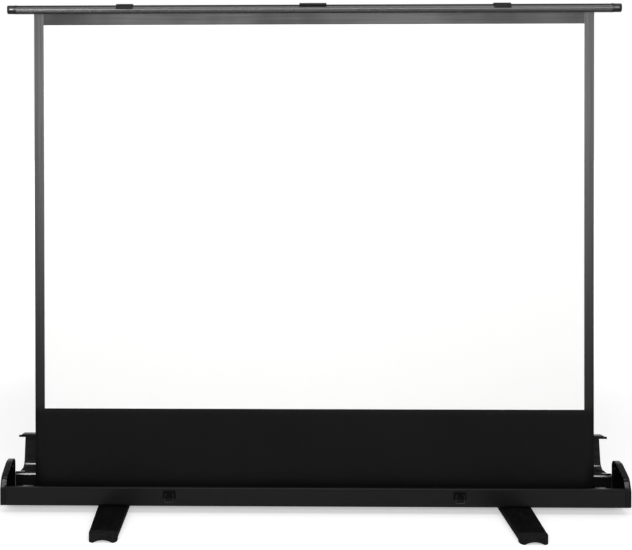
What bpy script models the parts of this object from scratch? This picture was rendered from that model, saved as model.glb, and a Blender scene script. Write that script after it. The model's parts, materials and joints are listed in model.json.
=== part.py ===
"""A pull-up projection screen that stands on the floor, shown raised, with its case open.

The case is an aluminium trough with moulded ends. Its lid is hinged at the back, and the roller
lies in the trough. Two knee arms, geared together at the case and again at the top bar, push the
bar up and draw the fabric off the roller.
X is along the case, the viewer is at -Y, and Z is up from the floor. All lengths are in metres.
"""

from math import acos, asin, cos, pi, radians, sin, tan

import bmesh
import bpy
from mathutils import Matrix, Vector

# Screen
view_width = 1.626
view_height = 1.160
side_border = 0.029
top_border = 0.034
black_drop = 0.2257
fabric_thickness = 0.0005
view_thickness = 0.0003
hem_radius = 0.003

# Fit between pieces
gap = 0.0003
running_gap = 0.0005
weld_distance = 0.00001

# Case and lid
case_overhang = 0.019
case_depth = 0.110
case_height = 0.109
tray_height = 0.058
tray_wall = 0.0022
tray_corner = 0.008
rim_lip = 0.008
rib_front = -0.030
rib_rear = 0.0165
rib_width = 0.0020
rib_height = 0.0030
rim_radius = 0.002
cap_thickness = 0.0175
cap_wall = 0.0035
cap_rear_radius = 0.020
cap_crown = 0.042
cap_crown_radius = 0.030
cap_brow_depth = 0.014
cap_brow_drop = 0.024
cap_brow_radius = 0.026
cap_chin_drop = 0.056
cap_chin_radius = 0.020
cap_bottom_radius = 0.009
cap_bevel = 0.0105
cap_hollow = 0.0140
lid_inset = 0.0315
lid_drop = 0.002
lid_rear_radius = 0.024
lid_front_radius = 0.014
seal_inset = 0.0225
seal_width = 0.0065
seal_height = 0.0075
lid_open_angle = radians(100)

# Hinge of the lid, along its whole length
hinge_inset = 0.0445
hinge_knuckles = 8
hinge_leaf = 0.018
hinge_leaf_thickness = 0.0014
knuckle_radius = 0.0037
hinge_pin_radius = 0.0016
stop_inset = 0.6405
stop_width = 0.030
stop_thickness = 0.002
stop_low = 0.016
stop_arm = 0.036
stop_reach = 0.0210

# Feet
foot_inset = 0.3375
foot_length = 0.470
foot_width = 0.092
foot_tip_width = 0.080
foot_height = 0.0245
foot_wall = 0.003
foot_corner = 0.014
foot_bevel = 0.003
foot_skirt = 0.020
foot_cap_length = 0.024
foot_cap_tongue = 0.014
foot_arch = 0.008
foot_arch_width = 0.056
foot_bolt_recess = 0.011
foot_nut_radius = 0.0085
foot_nut = 0.0045
foot_boss_radius = 0.020
foot_bolt_radius = 0.005
foot_bolt_head = 0.010
foot_bolt_head_height = 0.004

# Roller
roller_y = -0.0065
roller_height = 0.024
tube_radius = 0.0115
tube_wall = 0.0012
wound_radius = 0.0132
roller_overhang = 0.008
plug_flange_radius = 0.016
plug_flange = 0.003
plug_spigot = 0.018
axle_radius = 0.004
axle_length = 0.012
bracket_plate = 0.003
bracket_width = 0.034
bracket_foot = 0.018
bracket_crown = 0.010

# Top bar
bar_overhang = 0.0795
bar_height = 0.026
bar_depth = 0.022
bar_corner = 0.0085
bar_end_length = 0.027
bar_end_inset = 0.0006
bar_collar = 0.004
bar_collar_rise = 0.0006
bar_bevel = 0.003
hem_slot = 0.0022
hem_bore = 0.0036
hem_depth = 0.009
clip_inset = 0.3545
clip_length = 0.050
clip_thickness = 0.0032
grip_length = 0.081
grip_thickness = 0.0042
clip_reach = 0.013
grip_back = 0.008

# Knee arms
raised_angle = radians(74.3)
folded_angle = radians(0.5)
pivot_below_bar = 0.005
base_pivot_height = 0.037
link_width = 0.022
link_thickness = 0.010
link_wall = 0.0015
link_corner = 0.003
lower_plane = 0.0370
upper_plane = 0.0195
hub_radius = 0.0135
knuckle_length = 0.034
plug_length = 0.028
gear_module = 0.002
gear_teeth = 26
gear_width = 0.006
gear_pressure = radians(20)
gear_backlash = 0.00012
pin_radius = 0.004
pin_head_radius = 0.0065
pin_head = 0.0010
spacer_radius = 0.0080
plate_thickness = 0.0018
stand_width = 0.094
stand_rise = 0.014
stand_corner = 0.010
stand_lap = 0.0002
yoke_width = 0.088
yoke_drop = 0.012
yoke_flange = 0.020
yoke_headroom = 0.0015

# Latches on the front wall
latch_inset = 0.5075
latch_width = 0.038
latch_height = 0.023
latch_plate = 0.002
latch_height_up = 0.0375
latch_corner = 0.0008
ear_thickness = 0.0018
ear_height = 0.0052
lever_width = 0.018
lever_length = 0.0150
lever_half = 0.0022
lever_kick = 0.0024
lever_pin_radius = 0.0011
lever_pin_drop = 0.0045
lever_clearance = 0.0008
loop_wire = 0.0009
loop_length = 0.0235
loop_bend = 0.0024
loop_end = 0.004
loop_drop = 0.0045
keeper_width = 0.018
keeper_height = 0.014
keeper_thickness = 0.0012
keeper_lip = 0.0024

# Carrying handle on the lid
handle_span = 0.130
handle_reach = 0.036
handle_wire = 0.0045
handle_turn = 0.006
handle_bend = 0.014
handle_spot = -0.012
handle_rise = 0.0075
handle_grip = 0.012
mount_length = 0.022
mount_width = 0.018
mount_height = 0.014
mount_corner = 0.004

# How round things are
circle_sides = 24
fine_sides = 16
eye_steps = 10
arc_steps = 4
flank_steps = 3

# Sizes that follow from the ones above
case_bottom = foot_height + running_gap
case_split = case_bottom + tray_height
case_top = case_bottom + case_height
half_depth = case_depth / 2
fabric_width = view_width + 2 * side_border
bar_length = fabric_width + 2 * bar_overhang
clip_spot = bar_length / 2 - clip_inset
case_length = bar_length + 2 * case_overhang
tray_length = case_length - 2 * cap_thickness
lid_length = case_length - 2 * lid_inset
seal_length = case_length - 2 * seal_inset
hinge_length = case_length - 2 * hinge_inset
foot_spot = case_length / 2 - foot_inset
latch_spot = case_length / 2 - latch_inset
stop_spot = case_length / 2 - stop_inset
tray_floor = case_bottom + tray_wall
fabric_y = roller_y - wound_radius - gap - fabric_thickness / 2
roller_z = case_bottom + roller_height
bar_bottom = case_split + black_drop + view_height + top_border
base_pivot_z = case_bottom + base_pivot_height
top_pivot_z = bar_bottom - pivot_below_bar
gear_radius = gear_module * gear_teeth / 2
gear_tip_radius = gear_radius + gear_module
link_length = (top_pivot_z - base_pivot_z) / (2 * sin(raised_angle))
elbow_x = gear_radius + link_length * cos(raised_angle)
elbow_z = base_pivot_z + link_length * sin(raised_angle)
hinge_y = half_depth + gap + knuckle_radius
lid_top = case_top - lid_drop
fabric_top = bar_bottom + hem_depth - hem_radius - gap


def clear_scene():
    """Empties the file, so that the part starts from nothing."""
    for thing in list(bpy.data.objects):
        bpy.data.objects.remove(thing, do_unlink=True)


def new_collection(name):
    """Makes a collection in the scene."""
    made = bpy.data.collections.new(name)
    bpy.context.scene.collection.children.link(made)
    return made


def new_material(name, colour, metallic, roughness):
    """Makes a Principled material."""
    made = bpy.data.materials.new(name)
    made.use_nodes = True
    shader = made.node_tree.nodes["Principled BSDF"]
    shader.inputs["Base Color"].default_value = (*colour, 1)
    shader.inputs["Metallic"].default_value = metallic
    shader.inputs["Roughness"].default_value = roughness
    return made


clear_scene()
pieces = new_collection("pull_up_projection_screen")
shapers = new_collection("shaping_solids")

black_metal = ("black_painted_aluminium", (0.018, 0.020, 0.020), 0.6, 0.35)
black_plastic = ("black_plastic", (0.012, 0.012, 0.013), 0.0, 0.4)
gloss_plastic = ("gloss_black_plastic", (0.010, 0.010, 0.011), 0.0, 0.15)
bare_aluminium = ("satin_aluminium", (0.62, 0.63, 0.64), 1.0, 0.35)
bright_steel = ("zinc_plated_steel", (0.66, 0.67, 0.69), 1.0, 0.25)
black_fabric = ("black_backed_fabric", (0.02, 0.02, 0.021), 0.0, 0.8)
white_surface = ("matt_white_surface", (0.86, 0.86, 0.85), 0.0, 0.9)
rubber = ("black_rubber", (0.015, 0.015, 0.015), 0.0, 0.85)


def own(thing, name, finish=None, parent=None):
    """Names a piece, gives it its material and parent, and files it. A piece without a finish only shapes others."""
    thing.name = name
    thing.data.name = name
    for holder in list(thing.users_collection):
        holder.objects.unlink(thing)
    (pieces if finish else shapers).objects.link(thing)
    thing.parent = parent
    thing.data.materials.clear()
    if finish:
        thing.data.materials.append(new_material(f"{name}_{finish[0]}", *finish[1:]))
    else:
        thing.hide_render = True
        thing.display_type = "WIRE"
    return thing


def joint_frame(name, at, rotation=(0, 0, 0), parent=None):
    """An empty on a joint's axis, which the joint's pieces hang from."""
    frame = bpy.data.objects.new(name, None)
    pieces.objects.link(frame)
    frame.location = at
    frame.rotation_euler = rotation
    frame.parent = parent
    return frame


def block(name, size, centre, finish=None, parent=None):
    """A box of a given size."""
    bpy.ops.mesh.primitive_cube_add(size=1, location=centre, scale=size)
    bpy.ops.object.transform_apply(location=False, rotation=False, scale=True)
    return own(bpy.context.object, name, finish, parent)


turn_to = {"x": (0, pi / 2, 0), "y": (pi / 2, 0, 0), "z": (0, 0, 0)}


def rod(name, radius, length, centre, axis, finish=None, parent=None, sides=fine_sides):
    """A round bar along one axis."""
    bpy.ops.mesh.primitive_cylinder_add(
        vertices=sides, radius=radius, depth=length, location=centre, rotation=turn_to[axis]
    )
    bpy.ops.object.transform_apply(location=False, rotation=True, scale=False)
    return own(bpy.context.object, name, finish, parent)


facing_turn = {
    "x": Matrix.Rotation(pi / 2, 4, "Z") @ Matrix.Rotation(pi / 2, 4, "X"),
    "y": Matrix.Rotation(pi / 2, 4, "X"),
    "z": Matrix.Identity(4),
}


def closed_mesh(thing):
    """Turns a curve object into a mesh object whose caps are joined to its sides."""
    mesh = bpy.data.meshes.new_from_object(thing)
    bpy.data.objects.remove(thing)
    shape = bmesh.new()
    shape.from_mesh(mesh)
    bmesh.ops.remove_doubles(shape, verts=shape.verts, dist=weld_distance)
    bmesh.ops.recalc_face_normals(shape, faces=shape.faces)
    shape.to_mesh(mesh)
    shape.free()
    made = bpy.data.objects.new("solid", mesh)
    bpy.context.scene.collection.objects.link(made)
    return made


def plate(name, outlines, thickness, centre, facing, finish=None, parent=None):
    """A flat piece cut to outlines. The outlines after the first are its holes.

    Facing x, an outline's pairs are Y and Z. Facing y, they are X and Z. Facing z, they are X and Y.
    """
    curve = bpy.data.curves.new(name, "CURVE")
    curve.dimensions = "2D"
    curve.fill_mode = "BOTH"
    curve.extrude = thickness / 2
    for outline in outlines:
        line = curve.splines.new("POLY")
        line.points.add(len(outline) - 1)
        line.use_cyclic_u = True
        for point, (across, up) in zip(line.points, outline):
            point.co = (across, up, 0, 1)
    drawn = bpy.data.objects.new(name, curve)
    bpy.context.scene.collection.objects.link(drawn)
    made = closed_mesh(drawn)
    made.data.transform(facing_turn[facing])
    made.location = centre
    return own(made, name, finish, parent)


def turned(name, profile, centre, axis, finish, parent=None, sides=circle_sides):
    """A lathe-turned piece. Its profile is pairs of radius and height, from the top down."""
    mesh = bpy.data.meshes.new(name)
    mesh.from_pydata([(radius, 0, height) for radius, height in profile],
                     [(at, at + 1) for at in range(len(profile) - 1)], [])
    made = bpy.data.objects.new(name, mesh)
    bpy.context.scene.collection.objects.link(made)
    made.location = centre
    made.rotation_euler = turn_to[axis]
    lathe = made.modifiers.new("lathe", "SCREW")
    lathe.steps = lathe.render_steps = sides
    lathe.use_merge_vertices = True
    lathe.merge_threshold = weld_distance
    lathe.use_smooth_shade = False
    return own(made, name, finish, parent)


def bent_rod(name, path, radius, finish, parent=None, closed=False):
    """A round wire along a path of corner points."""
    curve = bpy.data.curves.new(name, "CURVE")
    curve.dimensions = "3D"
    curve.bevel_depth = radius
    curve.bevel_resolution = 2
    curve.use_fill_caps = True
    line = curve.splines.new("POLY")
    line.points.add(len(path) - 1)
    line.use_cyclic_u = closed
    for point, place in zip(line.points, path):
        point.co = (*place, 1)
    drawn = bpy.data.objects.new(name, curve)
    bpy.context.scene.collection.objects.link(drawn)
    return own(closed_mesh(drawn), name, finish, parent)


def subtract(piece, *cutters):
    """Cuts other solids out of a piece."""
    return combine(piece, "DIFFERENCE", cutters)


def unite(piece, *others):
    """Makes other solids one with a piece."""
    return combine(piece, "UNION", others)


def combine(piece, operation, others):
    """Adds one exact Boolean for each of the other solids."""
    for other in others:
        step = piece.modifiers.new(other.name, "BOOLEAN")
        step.operation = operation
        step.solver = "EXACT"
        step.object = other
        other.parent = other.parent or piece.parent
    return piece


def soften(piece, width, segments=2):
    """Rounds a piece's sharp edges."""
    step = piece.modifiers.new("soft_edges", "BEVEL")
    step.width = width
    step.segments = segments
    step.limit_method = "ANGLE"
    step.angle_limit = radians(40)
    return piece


def circle(across, up, radius, sides=circle_sides):
    """A round outline."""
    step = 2 * pi / sides
    return [(across + radius * cos(at * step), up + radius * sin(at * step)) for at in range(sides)]


def corner_arc(before, corner, after, radius):
    """The points that round one corner of an outline."""
    inward = (Vector(before) - Vector(corner)).normalized()
    outward = (Vector(after) - Vector(corner)).normalized()
    half_angle = inward.angle(outward) / 2
    centre = Vector(corner) + (inward + outward).normalized() * radius / sin(half_angle)
    start = Vector(corner) + inward * radius / tan(half_angle) - centre
    sweep = start.angle_signed(Vector(corner) + outward * radius / tan(half_angle) - centre)
    return [tuple(centre + Matrix.Rotation(-sweep * step / arc_steps, 2) @ start) for step in range(arc_steps + 1)]


def rounded(corners, radii, closed=True):
    """An outline, or an open path, with each corner rounded by its own radius."""
    line = []
    last = len(corners) - 1
    for at, corner in enumerate(corners):
        open_end = not closed and at in (0, last)
        if open_end or not radii[at]:
            line.append(tuple(corner))
        else:
            line += corner_arc(corners[at - 1], corner, corners[(at + 1) % len(corners)], radii[at])
    return line


def box_outline(low, high, radius):
    """A rounded rectangle between two opposite corners."""
    corners = [low, (high[0], low[1]), high, (low[0], high[1])]
    return rounded(corners, [radius] * 4)


def strip(path, thickness):
    """The outline of a sheet of even thickness bent along an open path."""
    steps = [(Vector(after) - Vector(before)).normalized() for before, after in zip(path, path[1:])]
    left, right = [], []
    for here, before, after in zip(path, steps[:1] + steps, steps + steps[-1:]):
        along = (before + after).normalized()
        aside = Vector((-along.y, along.x)) * (thickness / 2) / along.dot(before)
        left.append(tuple(Vector(here) + aside))
        right.append(tuple(Vector(here) - aside))
    return left + right[::-1]


sides = (("left", -1), ("right", 1))


# Case


def make_tray():
    """The case's trough: one bent sheet of even thickness, with ribs along its floor."""
    inner = half_depth - tray_wall / 2
    floor = case_bottom + tray_wall / 2
    rim = case_split - tray_wall / 2
    corners = [(rim_lip - inner, rim), (-inner, rim), (-inner, floor), (inner, floor), (inner, case_split)]
    path = rounded(corners, [0, rim_radius, tray_corner, tray_corner, 0], closed=False)
    tray = plate("case_tray", [strip(path, tray_wall)], tray_length - 2 * gap, (0, 0, 0), "x", black_metal)
    for name, spot in (("front", rib_front), ("rear", rib_rear)):
        rib_size = (tray_length - 2 * rib_height, rib_width, rib_height + tray_wall / 2)
        unite(tray, block(f"tray_rib_{name}", rib_size, (0, spot, floor + rib_size[2] / 2)))
    return tray


def drawn_in(corners, wall):
    """An outline's corners, each moved in by a wall's thickness."""
    made = []
    for at, corner in enumerate(corners):
        here = Vector(corner)
        before = (here - Vector(corners[at - 1])).normalized()
        after = (Vector(corners[(at + 1) % len(corners)]) - here).normalized()
        first, second = [Vector((-way.y, way.x)) for way in (before, after)]
        made.append(tuple(here + (first + second) * (wall / (1 + first.dot(second)))))
    return made


def make_case_end(side, way):
    """One moulded end of the case: a crowned shell, open toward the trough, with a brow that slopes to its front."""
    corners = [(-half_depth, case_bottom), (half_depth, case_bottom), (half_depth, case_top),
               (half_depth - cap_crown, case_top), (cap_brow_depth - half_depth, case_top - cap_brow_drop),
               (-half_depth, case_top - cap_chin_drop)]
    radii = [cap_bottom_radius, cap_bottom_radius, cap_rear_radius, cap_crown_radius, cap_brow_radius,
             cap_chin_radius]
    joint_x = way * tray_length / 2
    end = plate(f"case_end_{side}", [rounded(corners, radii)], 2 * cap_thickness, (joint_x, 0, 0), "x", black_plastic)
    soften(end, cap_bevel, 4)
    hollow = rounded(drawn_in(corners, cap_wall), [radius - cap_wall for radius in radii])
    subtract(
        end,
        block(f"end_trim_{side}", (cap_thickness * 2, case_depth * 2, case_top * 2),
              (joint_x - way * cap_thickness, 0, case_height)),
        plate(f"end_hollow_{side}", [hollow], 2 * cap_hollow, (joint_x, 0, 0), "x"),
    )
    return end


tray = make_tray()
for side, way in sides:
    make_case_end(side, way)


# Feet


def half_width(along):
    """Half the width of a foot at a distance from its middle."""
    share = along / (foot_length / 2)
    return (foot_width + (foot_tip_width - foot_width) * share) / 2


def foot_plan(inset=0):
    """The middle shell of a foot seen from above, or its hollow, which is narrower and open at both ends."""
    reach = foot_length / 2 - foot_cap_length - gap + inset
    tip, middle = half_width(reach) - inset, half_width(0) - inset
    return [(-tip, -reach), (tip, -reach), (middle, 0), (tip, reach), (-tip, reach), (-middle, 0)]


def make_foot(side, frame):
    """The shell of a foot: a trough upside down, with a boss for the bolt that it turns on."""
    sole = foot_height - foot_skirt
    foot = plate(f"foot_{side}", [foot_plan()], foot_skirt, (0, 0, foot_height - foot_skirt / 2), "z",
                 black_metal, frame)
    soften(foot, foot_bevel, 2)
    hollow = plate(f"foot_hollow_{side}", [foot_plan(foot_wall)], foot_skirt - foot_wall + sole,
                   (0, 0, (foot_height - foot_wall) / 2), "z", None, frame)
    boss = rod(f"foot_boss_{side}", foot_boss_radius, foot_height * 3, (0, 0, 0), "z", None, frame, circle_sides)
    subtract(hollow, boss)
    recess = rod(f"foot_recess_{side}", foot_boss_radius + foot_wall, foot_bolt_recess * 2, (0, 0, 0), "z", None,
                 frame, circle_sides)
    bore = rod(f"foot_bore_{side}", foot_bolt_radius + gap, foot_height * 3, (0, 0, 0), "z", None, frame)
    subtract(foot, hollow, recess, bore)
    return foot


def make_foot_cap(name, end, frame):
    """The rubber end of a foot, arched below so that it stands on its corners."""
    inner = foot_length / 2 - foot_cap_length
    outer = foot_length / 2
    corners = [(-half_width(inner), inner), (half_width(inner), inner),
               (half_width(outer), outer), (-half_width(outer), outer)]
    outline = [(across * end, along * end) for across, along in rounded(corners, [0, 0, foot_corner, foot_corner])]
    cap = plate(name, [outline], foot_height, (0, 0, foot_height / 2), "z", rubber, frame)
    soften(cap, foot_bevel, 2)
    tongue_height = foot_skirt - foot_wall - gap
    tongue_width = 2 * half_width(inner) - 2 * foot_wall - 2 * foot_bevel
    tongue_length = 2 * foot_cap_tongue
    unite(cap, block(f"{name}_tongue", (tongue_width, tongue_length, tongue_height),
                     (0, end * inner, foot_height - foot_wall - gap - tongue_height / 2), None, frame))
    arch_radius = ((foot_arch_width / 2) ** 2 + foot_arch ** 2) / (2 * foot_arch)
    arch = rod(f"{name}_arch", arch_radius, foot_length * 2, (0, 0, foot_arch - arch_radius), "y", None, frame,
               circle_sides * 2)
    subtract(cap, arch)
    return cap


def make_foot_bolt(side, way):
    """The shouldered bolt that a foot turns on, with its nut inside the trough."""
    head_top = foot_bolt_recess - gap
    nut_low = tray_floor + gap
    profile = [
        (0, nut_low + foot_nut), (foot_nut_radius, nut_low + foot_nut), (foot_nut_radius, nut_low),
        (foot_bolt_radius, nut_low), (foot_bolt_radius, head_top), (foot_bolt_head, head_top),
        (foot_bolt_head, head_top - foot_bolt_head_height), (0, head_top - foot_bolt_head_height),
    ]
    place = (way * foot_spot, 0, 0)
    subtract(tray, rod(f"foot_bolt_hole_{side}", foot_bolt_radius + gap, case_bottom, (place[0], 0, case_bottom), "z"))
    return turned(f"foot_bolt_{side}", profile, place, "z", bright_steel, None, fine_sides)


for side, way in sides:
    swivel = joint_frame(f"foot_swivel_{side}", (way * foot_spot, 0, 0))
    make_foot(side, swivel)
    make_foot_cap(f"foot_cap_front_{side}", -1, swivel)
    make_foot_cap(f"foot_cap_rear_{side}", 1, swivel)
    make_foot_bolt(side, way)


# Roller

roller_frame = joint_frame("roller_axis", (0, roller_y, roller_z))
tube_half = fabric_width / 2 + roller_overhang
tube_rings = [circle(0, 0, tube_radius), circle(0, 0, tube_radius - tube_wall)]
plate("roller_tube", tube_rings, 2 * tube_half, (0, 0, 0), "x", bare_aluminium, roller_frame)
wound_rings = [circle(0, 0, wound_radius), circle(0, 0, tube_radius + gap)]
plate("wound_fabric", wound_rings, fabric_width, (0, 0, 0), "x", black_fabric, roller_frame)


def make_roller_end(side, way):
    """A plug that closes the tube and carries its axle, and the bracket that the axle turns in."""
    spigot = tube_radius - tube_wall - gap
    flange = tube_half + gap
    bracket_inner = flange + plug_flange + running_gap
    profile = [
        (0, flange + plug_flange + axle_length), (axle_radius, flange + plug_flange + axle_length),
        (axle_radius, flange + plug_flange), (plug_flange_radius, flange + plug_flange),
        (plug_flange_radius, flange), (spigot, flange), (spigot, flange - plug_spigot), (0, flange - plug_spigot),
    ]
    top_down = [(radius, way * height) for radius, height in profile][::way]
    turned(f"roller_plug_{side}", top_down, (0, 0, 0), "x", black_plastic, roller_frame, fine_sides)
    low, top = tray_floor + gap, roller_z + bracket_crown
    corners = [(roller_y - bracket_width / 2, low), (roller_y + bracket_width / 2, low),
               (roller_y + bracket_crown, top), (roller_y - bracket_crown, top)]
    outline = rounded(corners, [0, 0, bracket_crown * 0.8, bracket_crown * 0.8])
    plate_x = way * (bracket_inner + bracket_plate / 2)
    bracket = plate(f"roller_bracket_{side}", [outline, circle(roller_y, roller_z, axle_radius + gap, fine_sides)],
                    bracket_plate, (plate_x, 0, 0), "x", bright_steel)
    foot_x = way * (bracket_inner + bracket_foot / 2)
    foot = block(f"roller_bracket_foot_{side}", (bracket_foot, bracket_width, bracket_plate),
                 (foot_x, roller_y, low + bracket_plate / 2))
    unite(bracket, foot)


for side, way in sides:
    make_roller_end(side, way)


# Screen

fabric_size = (fabric_width, fabric_thickness, fabric_top - roller_z)
block("screen_fabric", fabric_size, (0, fabric_y, (fabric_top + roller_z) / 2), black_fabric)
view_y = fabric_y - fabric_thickness / 2 - gap - view_thickness / 2
view_z = bar_bottom - top_border - view_height / 2
block("viewing_surface", (view_width, view_thickness, view_height), (0, view_y, view_z), white_surface)


# Knee arms


def involute(angle):
    """The involute function, which gives a gear tooth its shape."""
    return tan(angle) - angle


def tooth_half_angle(radius):
    """Half the angle that a tooth fills at a radius, less its share of the backlash."""
    base_radius = gear_radius * cos(gear_pressure)
    lean = acos(min(1, base_radius / radius))
    return pi / (2 * gear_teeth) + involute(gear_pressure) - involute(lean) - gear_backlash / gear_radius


def sector_outline(way):
    """The toothed sector of one arm, with the arm pointing along +X.

    The arms of a pair meet with a tooth on one and a space on the other.
    """
    pitch_angle = 2 * pi / gear_teeth
    first = pi - raised_angle - pitch_angle * (1 if way < 0 else 0.5)
    count = int((raised_angle - folded_angle) / pitch_angle) + 3
    root_radius = gear_radius - 1.2 * gear_module
    radii = [root_radius + (gear_tip_radius - root_radius) * step / flank_steps for step in range(flank_steps + 1)]
    line = [(0, 0)]
    for tooth in range(count):
        middle = first + tooth * pitch_angle
        rising = [(radius, middle - tooth_half_angle(radius)) for radius in radii]
        falling = [(radius, middle + tooth_half_angle(radius)) for radius in radii[::-1]]
        line += [(radius * cos(angle), way * radius * sin(angle)) for radius, angle in rising + falling]
    return line


def knuckle_outline():
    """A round hub with a stub toward its tube along +X."""
    opening = asin(link_width / 2 / hub_radius)
    steps = circle_sides * 2 // 3
    turn = (2 * pi - 2 * opening) / steps
    hub = [(hub_radius * cos(opening + at * turn), hub_radius * sin(opening + at * turn)) for at in range(steps + 1)]
    return [(knuckle_length, link_width / 2)] + hub + [(knuckle_length, -link_width / 2)]


def make_knuckle(name, frame, at=0, way=0, turned_round=False):
    """An arm's end: a hub with a plug that goes into the tube, and a toothed sector if the arm is geared there."""
    knuckle = plate(name, [knuckle_outline()], link_thickness, (at, 0, 0), "y", black_plastic, frame)
    corner = (link_thickness / 2 - link_wall - gap, link_width / 2 - link_wall - gap)
    section = box_outline((-corner[0], -corner[1]), corner, link_corner - link_wall)
    plug_place = (knuckle_length + (plug_length - link_corner) / 2, 0, 0)
    shapes = [plate(f"{name}_plug", [section], plug_length + link_corner, plug_place, "x")]
    if way:
        shapes.append(plate(f"{name}_sector", [sector_outline(way)], gear_width, (0, 0, 0), "y"))
    unite(knuckle, *shapes)
    bore = rod(f"{name}_bore", pin_radius + gap, link_thickness * 2, (0, 0, 0), "y")
    subtract(knuckle, bore)
    for shape in shapes + [bore]:
        shape.parent = knuckle
    knuckle.rotation_euler = (0, pi if turned_round else 0, 0)
    return knuckle


def make_link(name, frame, base_way, top_way):
    """One arm link along its frame's +X: a rectangular tube with a knuckle in each end."""
    half_wide, half_thick = link_width / 2, link_thickness / 2
    outer = box_outline((-half_thick, -half_wide), (half_thick, half_wide), link_corner)
    inner = box_outline((link_wall - half_thick, link_wall - half_wide),
                        (half_thick - link_wall, half_wide - link_wall), link_corner - link_wall)
    tube_length = link_length - 2 * knuckle_length - 2 * gap
    plate(f"{name}_tube", [outer, inner], tube_length, (link_length / 2, 0, 0), "x", bare_aluminium, frame)
    make_knuckle(f"{name}_lower_knuckle", frame, 0, base_way)
    make_knuckle(f"{name}_upper_knuckle", frame, link_length, top_way, True)


def make_elbow_pin(side, frame):
    """The pin that joins a lower arm to an upper one, with a shoulder that keeps them apart."""
    front = upper_plane - lower_plane - link_thickness / 2 - gap
    shoulder_front = upper_plane - lower_plane + link_thickness / 2 + gap
    shoulder_rear = -link_thickness / 2 - gap
    rear = link_thickness / 2 + gap
    profile = [
        (0, rear + pin_head), (pin_head_radius, rear + pin_head), (pin_head_radius, rear), (pin_radius, rear),
        (pin_radius, shoulder_rear), (spacer_radius, shoulder_rear), (spacer_radius, shoulder_front),
        (pin_radius, shoulder_front), (pin_radius, front), (pin_head_radius, front),
        (pin_head_radius, front - pin_head), (0, front - pin_head),
    ]
    upward = [(radius, -along) for radius, along in profile][::-1]
    turned(f"elbow_pin_{side}", upward, (link_length, 0, 0), "y", bright_steel, frame, fine_sides)


def make_arm(side, way):
    """The lower and upper arm of one side, each from its own joint's frame."""
    lean = -(pi / 2 + way * (raised_angle - pi / 2))
    lower_frame = joint_frame(f"base_pivot_{side}", (way * gear_radius, lower_plane, base_pivot_z), (0, lean, 0))
    make_link(f"lower_arm_{side}", lower_frame, way, 0)
    make_elbow_pin(side, lower_frame)
    upper_lean = -(pi / 2 - way * (raised_angle - pi / 2))
    upper_frame = joint_frame(f"elbow_pivot_{side}", (way * elbow_x, upper_plane, elbow_z), (0, upper_lean, 0))
    make_link(f"upper_arm_{side}", upper_frame, 0, -way)


def ear_outline(width, low, high, corner):
    """A plate's outline with its two upper corners rounded."""
    corners = [(-width / 2, low), (width / 2, low), (width / 2, high), (-width / 2, high)]
    return rounded(corners, [0, 0, corner, corner])


def add_pivot_pins(holder, plane, height, frame=None, shift=0):
    """Rivets a pivot pin for each side into a pair of plates."""
    reach = link_thickness + 2 * running_gap + 2 * plate_thickness
    for side, way in sides:
        place = (way * gear_radius + shift, plane, height)
        unite(holder, rod(f"{holder.name}_pin_{side}", pin_radius, reach + pin_head, place, "y", None, frame))
        for end in (-1, 1):
            head_y = plane + end * (reach / 2 + pin_head / 4)
            head_place = (place[0], head_y, height)
            head = rod(f"{holder.name}_head_{side}_{end + 1}", pin_head_radius, pin_head * 1.5, head_place, "y",
                       None, frame)
            unite(holder, head)


def make_stand():
    """The bracket on the case's floor that carries the two lower arms between its plates."""
    low, high = tray_floor + gap, base_pivot_z + stand_rise
    offset = link_thickness / 2 + running_gap + plate_thickness / 2
    outline = ear_outline(stand_width, low, high, stand_corner)
    stand = plate("arm_stand", [outline], plate_thickness, (0, lower_plane - offset, 0), "y", bright_steel)
    rear = plate("arm_stand_rear", [outline], plate_thickness, (0, lower_plane + offset, 0), "y")
    floor_size = (stand_width, 2 * offset, plate_thickness)
    floor = block("arm_stand_floor", floor_size, (0, lower_plane, low + plate_thickness / 2 + stand_lap))
    unite(stand, floor, rear)
    add_pivot_pins(stand, lower_plane, base_pivot_z)
    return stand


def make_yoke(frame):
    """The bracket behind the top bar that hangs on the two upper arms."""
    shift = gear_radius
    middle_y = 0
    offset = link_thickness / 2 + running_gap + plate_thickness / 2
    roof = gear_tip_radius + yoke_headroom + plate_thickness / 2
    bar_rear = fabric_y + bar_depth / 2 + gap - upper_plane + plate_thickness / 2
    path = [(bar_rear, roof - yoke_flange), (bar_rear, roof), (offset, roof), (offset, -yoke_drop)]
    yoke = plate("arm_yoke", [strip(path, plate_thickness)], yoke_width, (shift, middle_y, 0), "x", bright_steel,
                 frame)
    leg = block("arm_yoke_leg", (yoke_width - 2 * stand_lap, plate_thickness, roof + yoke_drop),
                (shift, -offset, (roof - yoke_drop) / 2), None, frame)
    unite(yoke, leg)
    add_pivot_pins(yoke, middle_y, 0, frame, shift)
    return yoke


for side, way in sides:
    make_arm(side, way)
make_stand()
bar_frame = joint_frame("top_pivot_left", (-gear_radius, upper_plane, top_pivot_z))
make_yoke(bar_frame)


# Top bar


def on_bar(across, along, up):
    """A place in the room, as the bar's frame sees it."""
    return (across + gear_radius, along - upper_plane, up - top_pivot_z)


def bar_outline(growth=0):
    """The bar's cross-section, grown or shrunk."""
    low = (fabric_y - bar_depth / 2 - growth, bar_bottom - growth)
    high = (fabric_y + bar_depth / 2 + growth, bar_bottom + bar_height + growth)
    return box_outline(low, high, bar_corner + growth)


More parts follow.
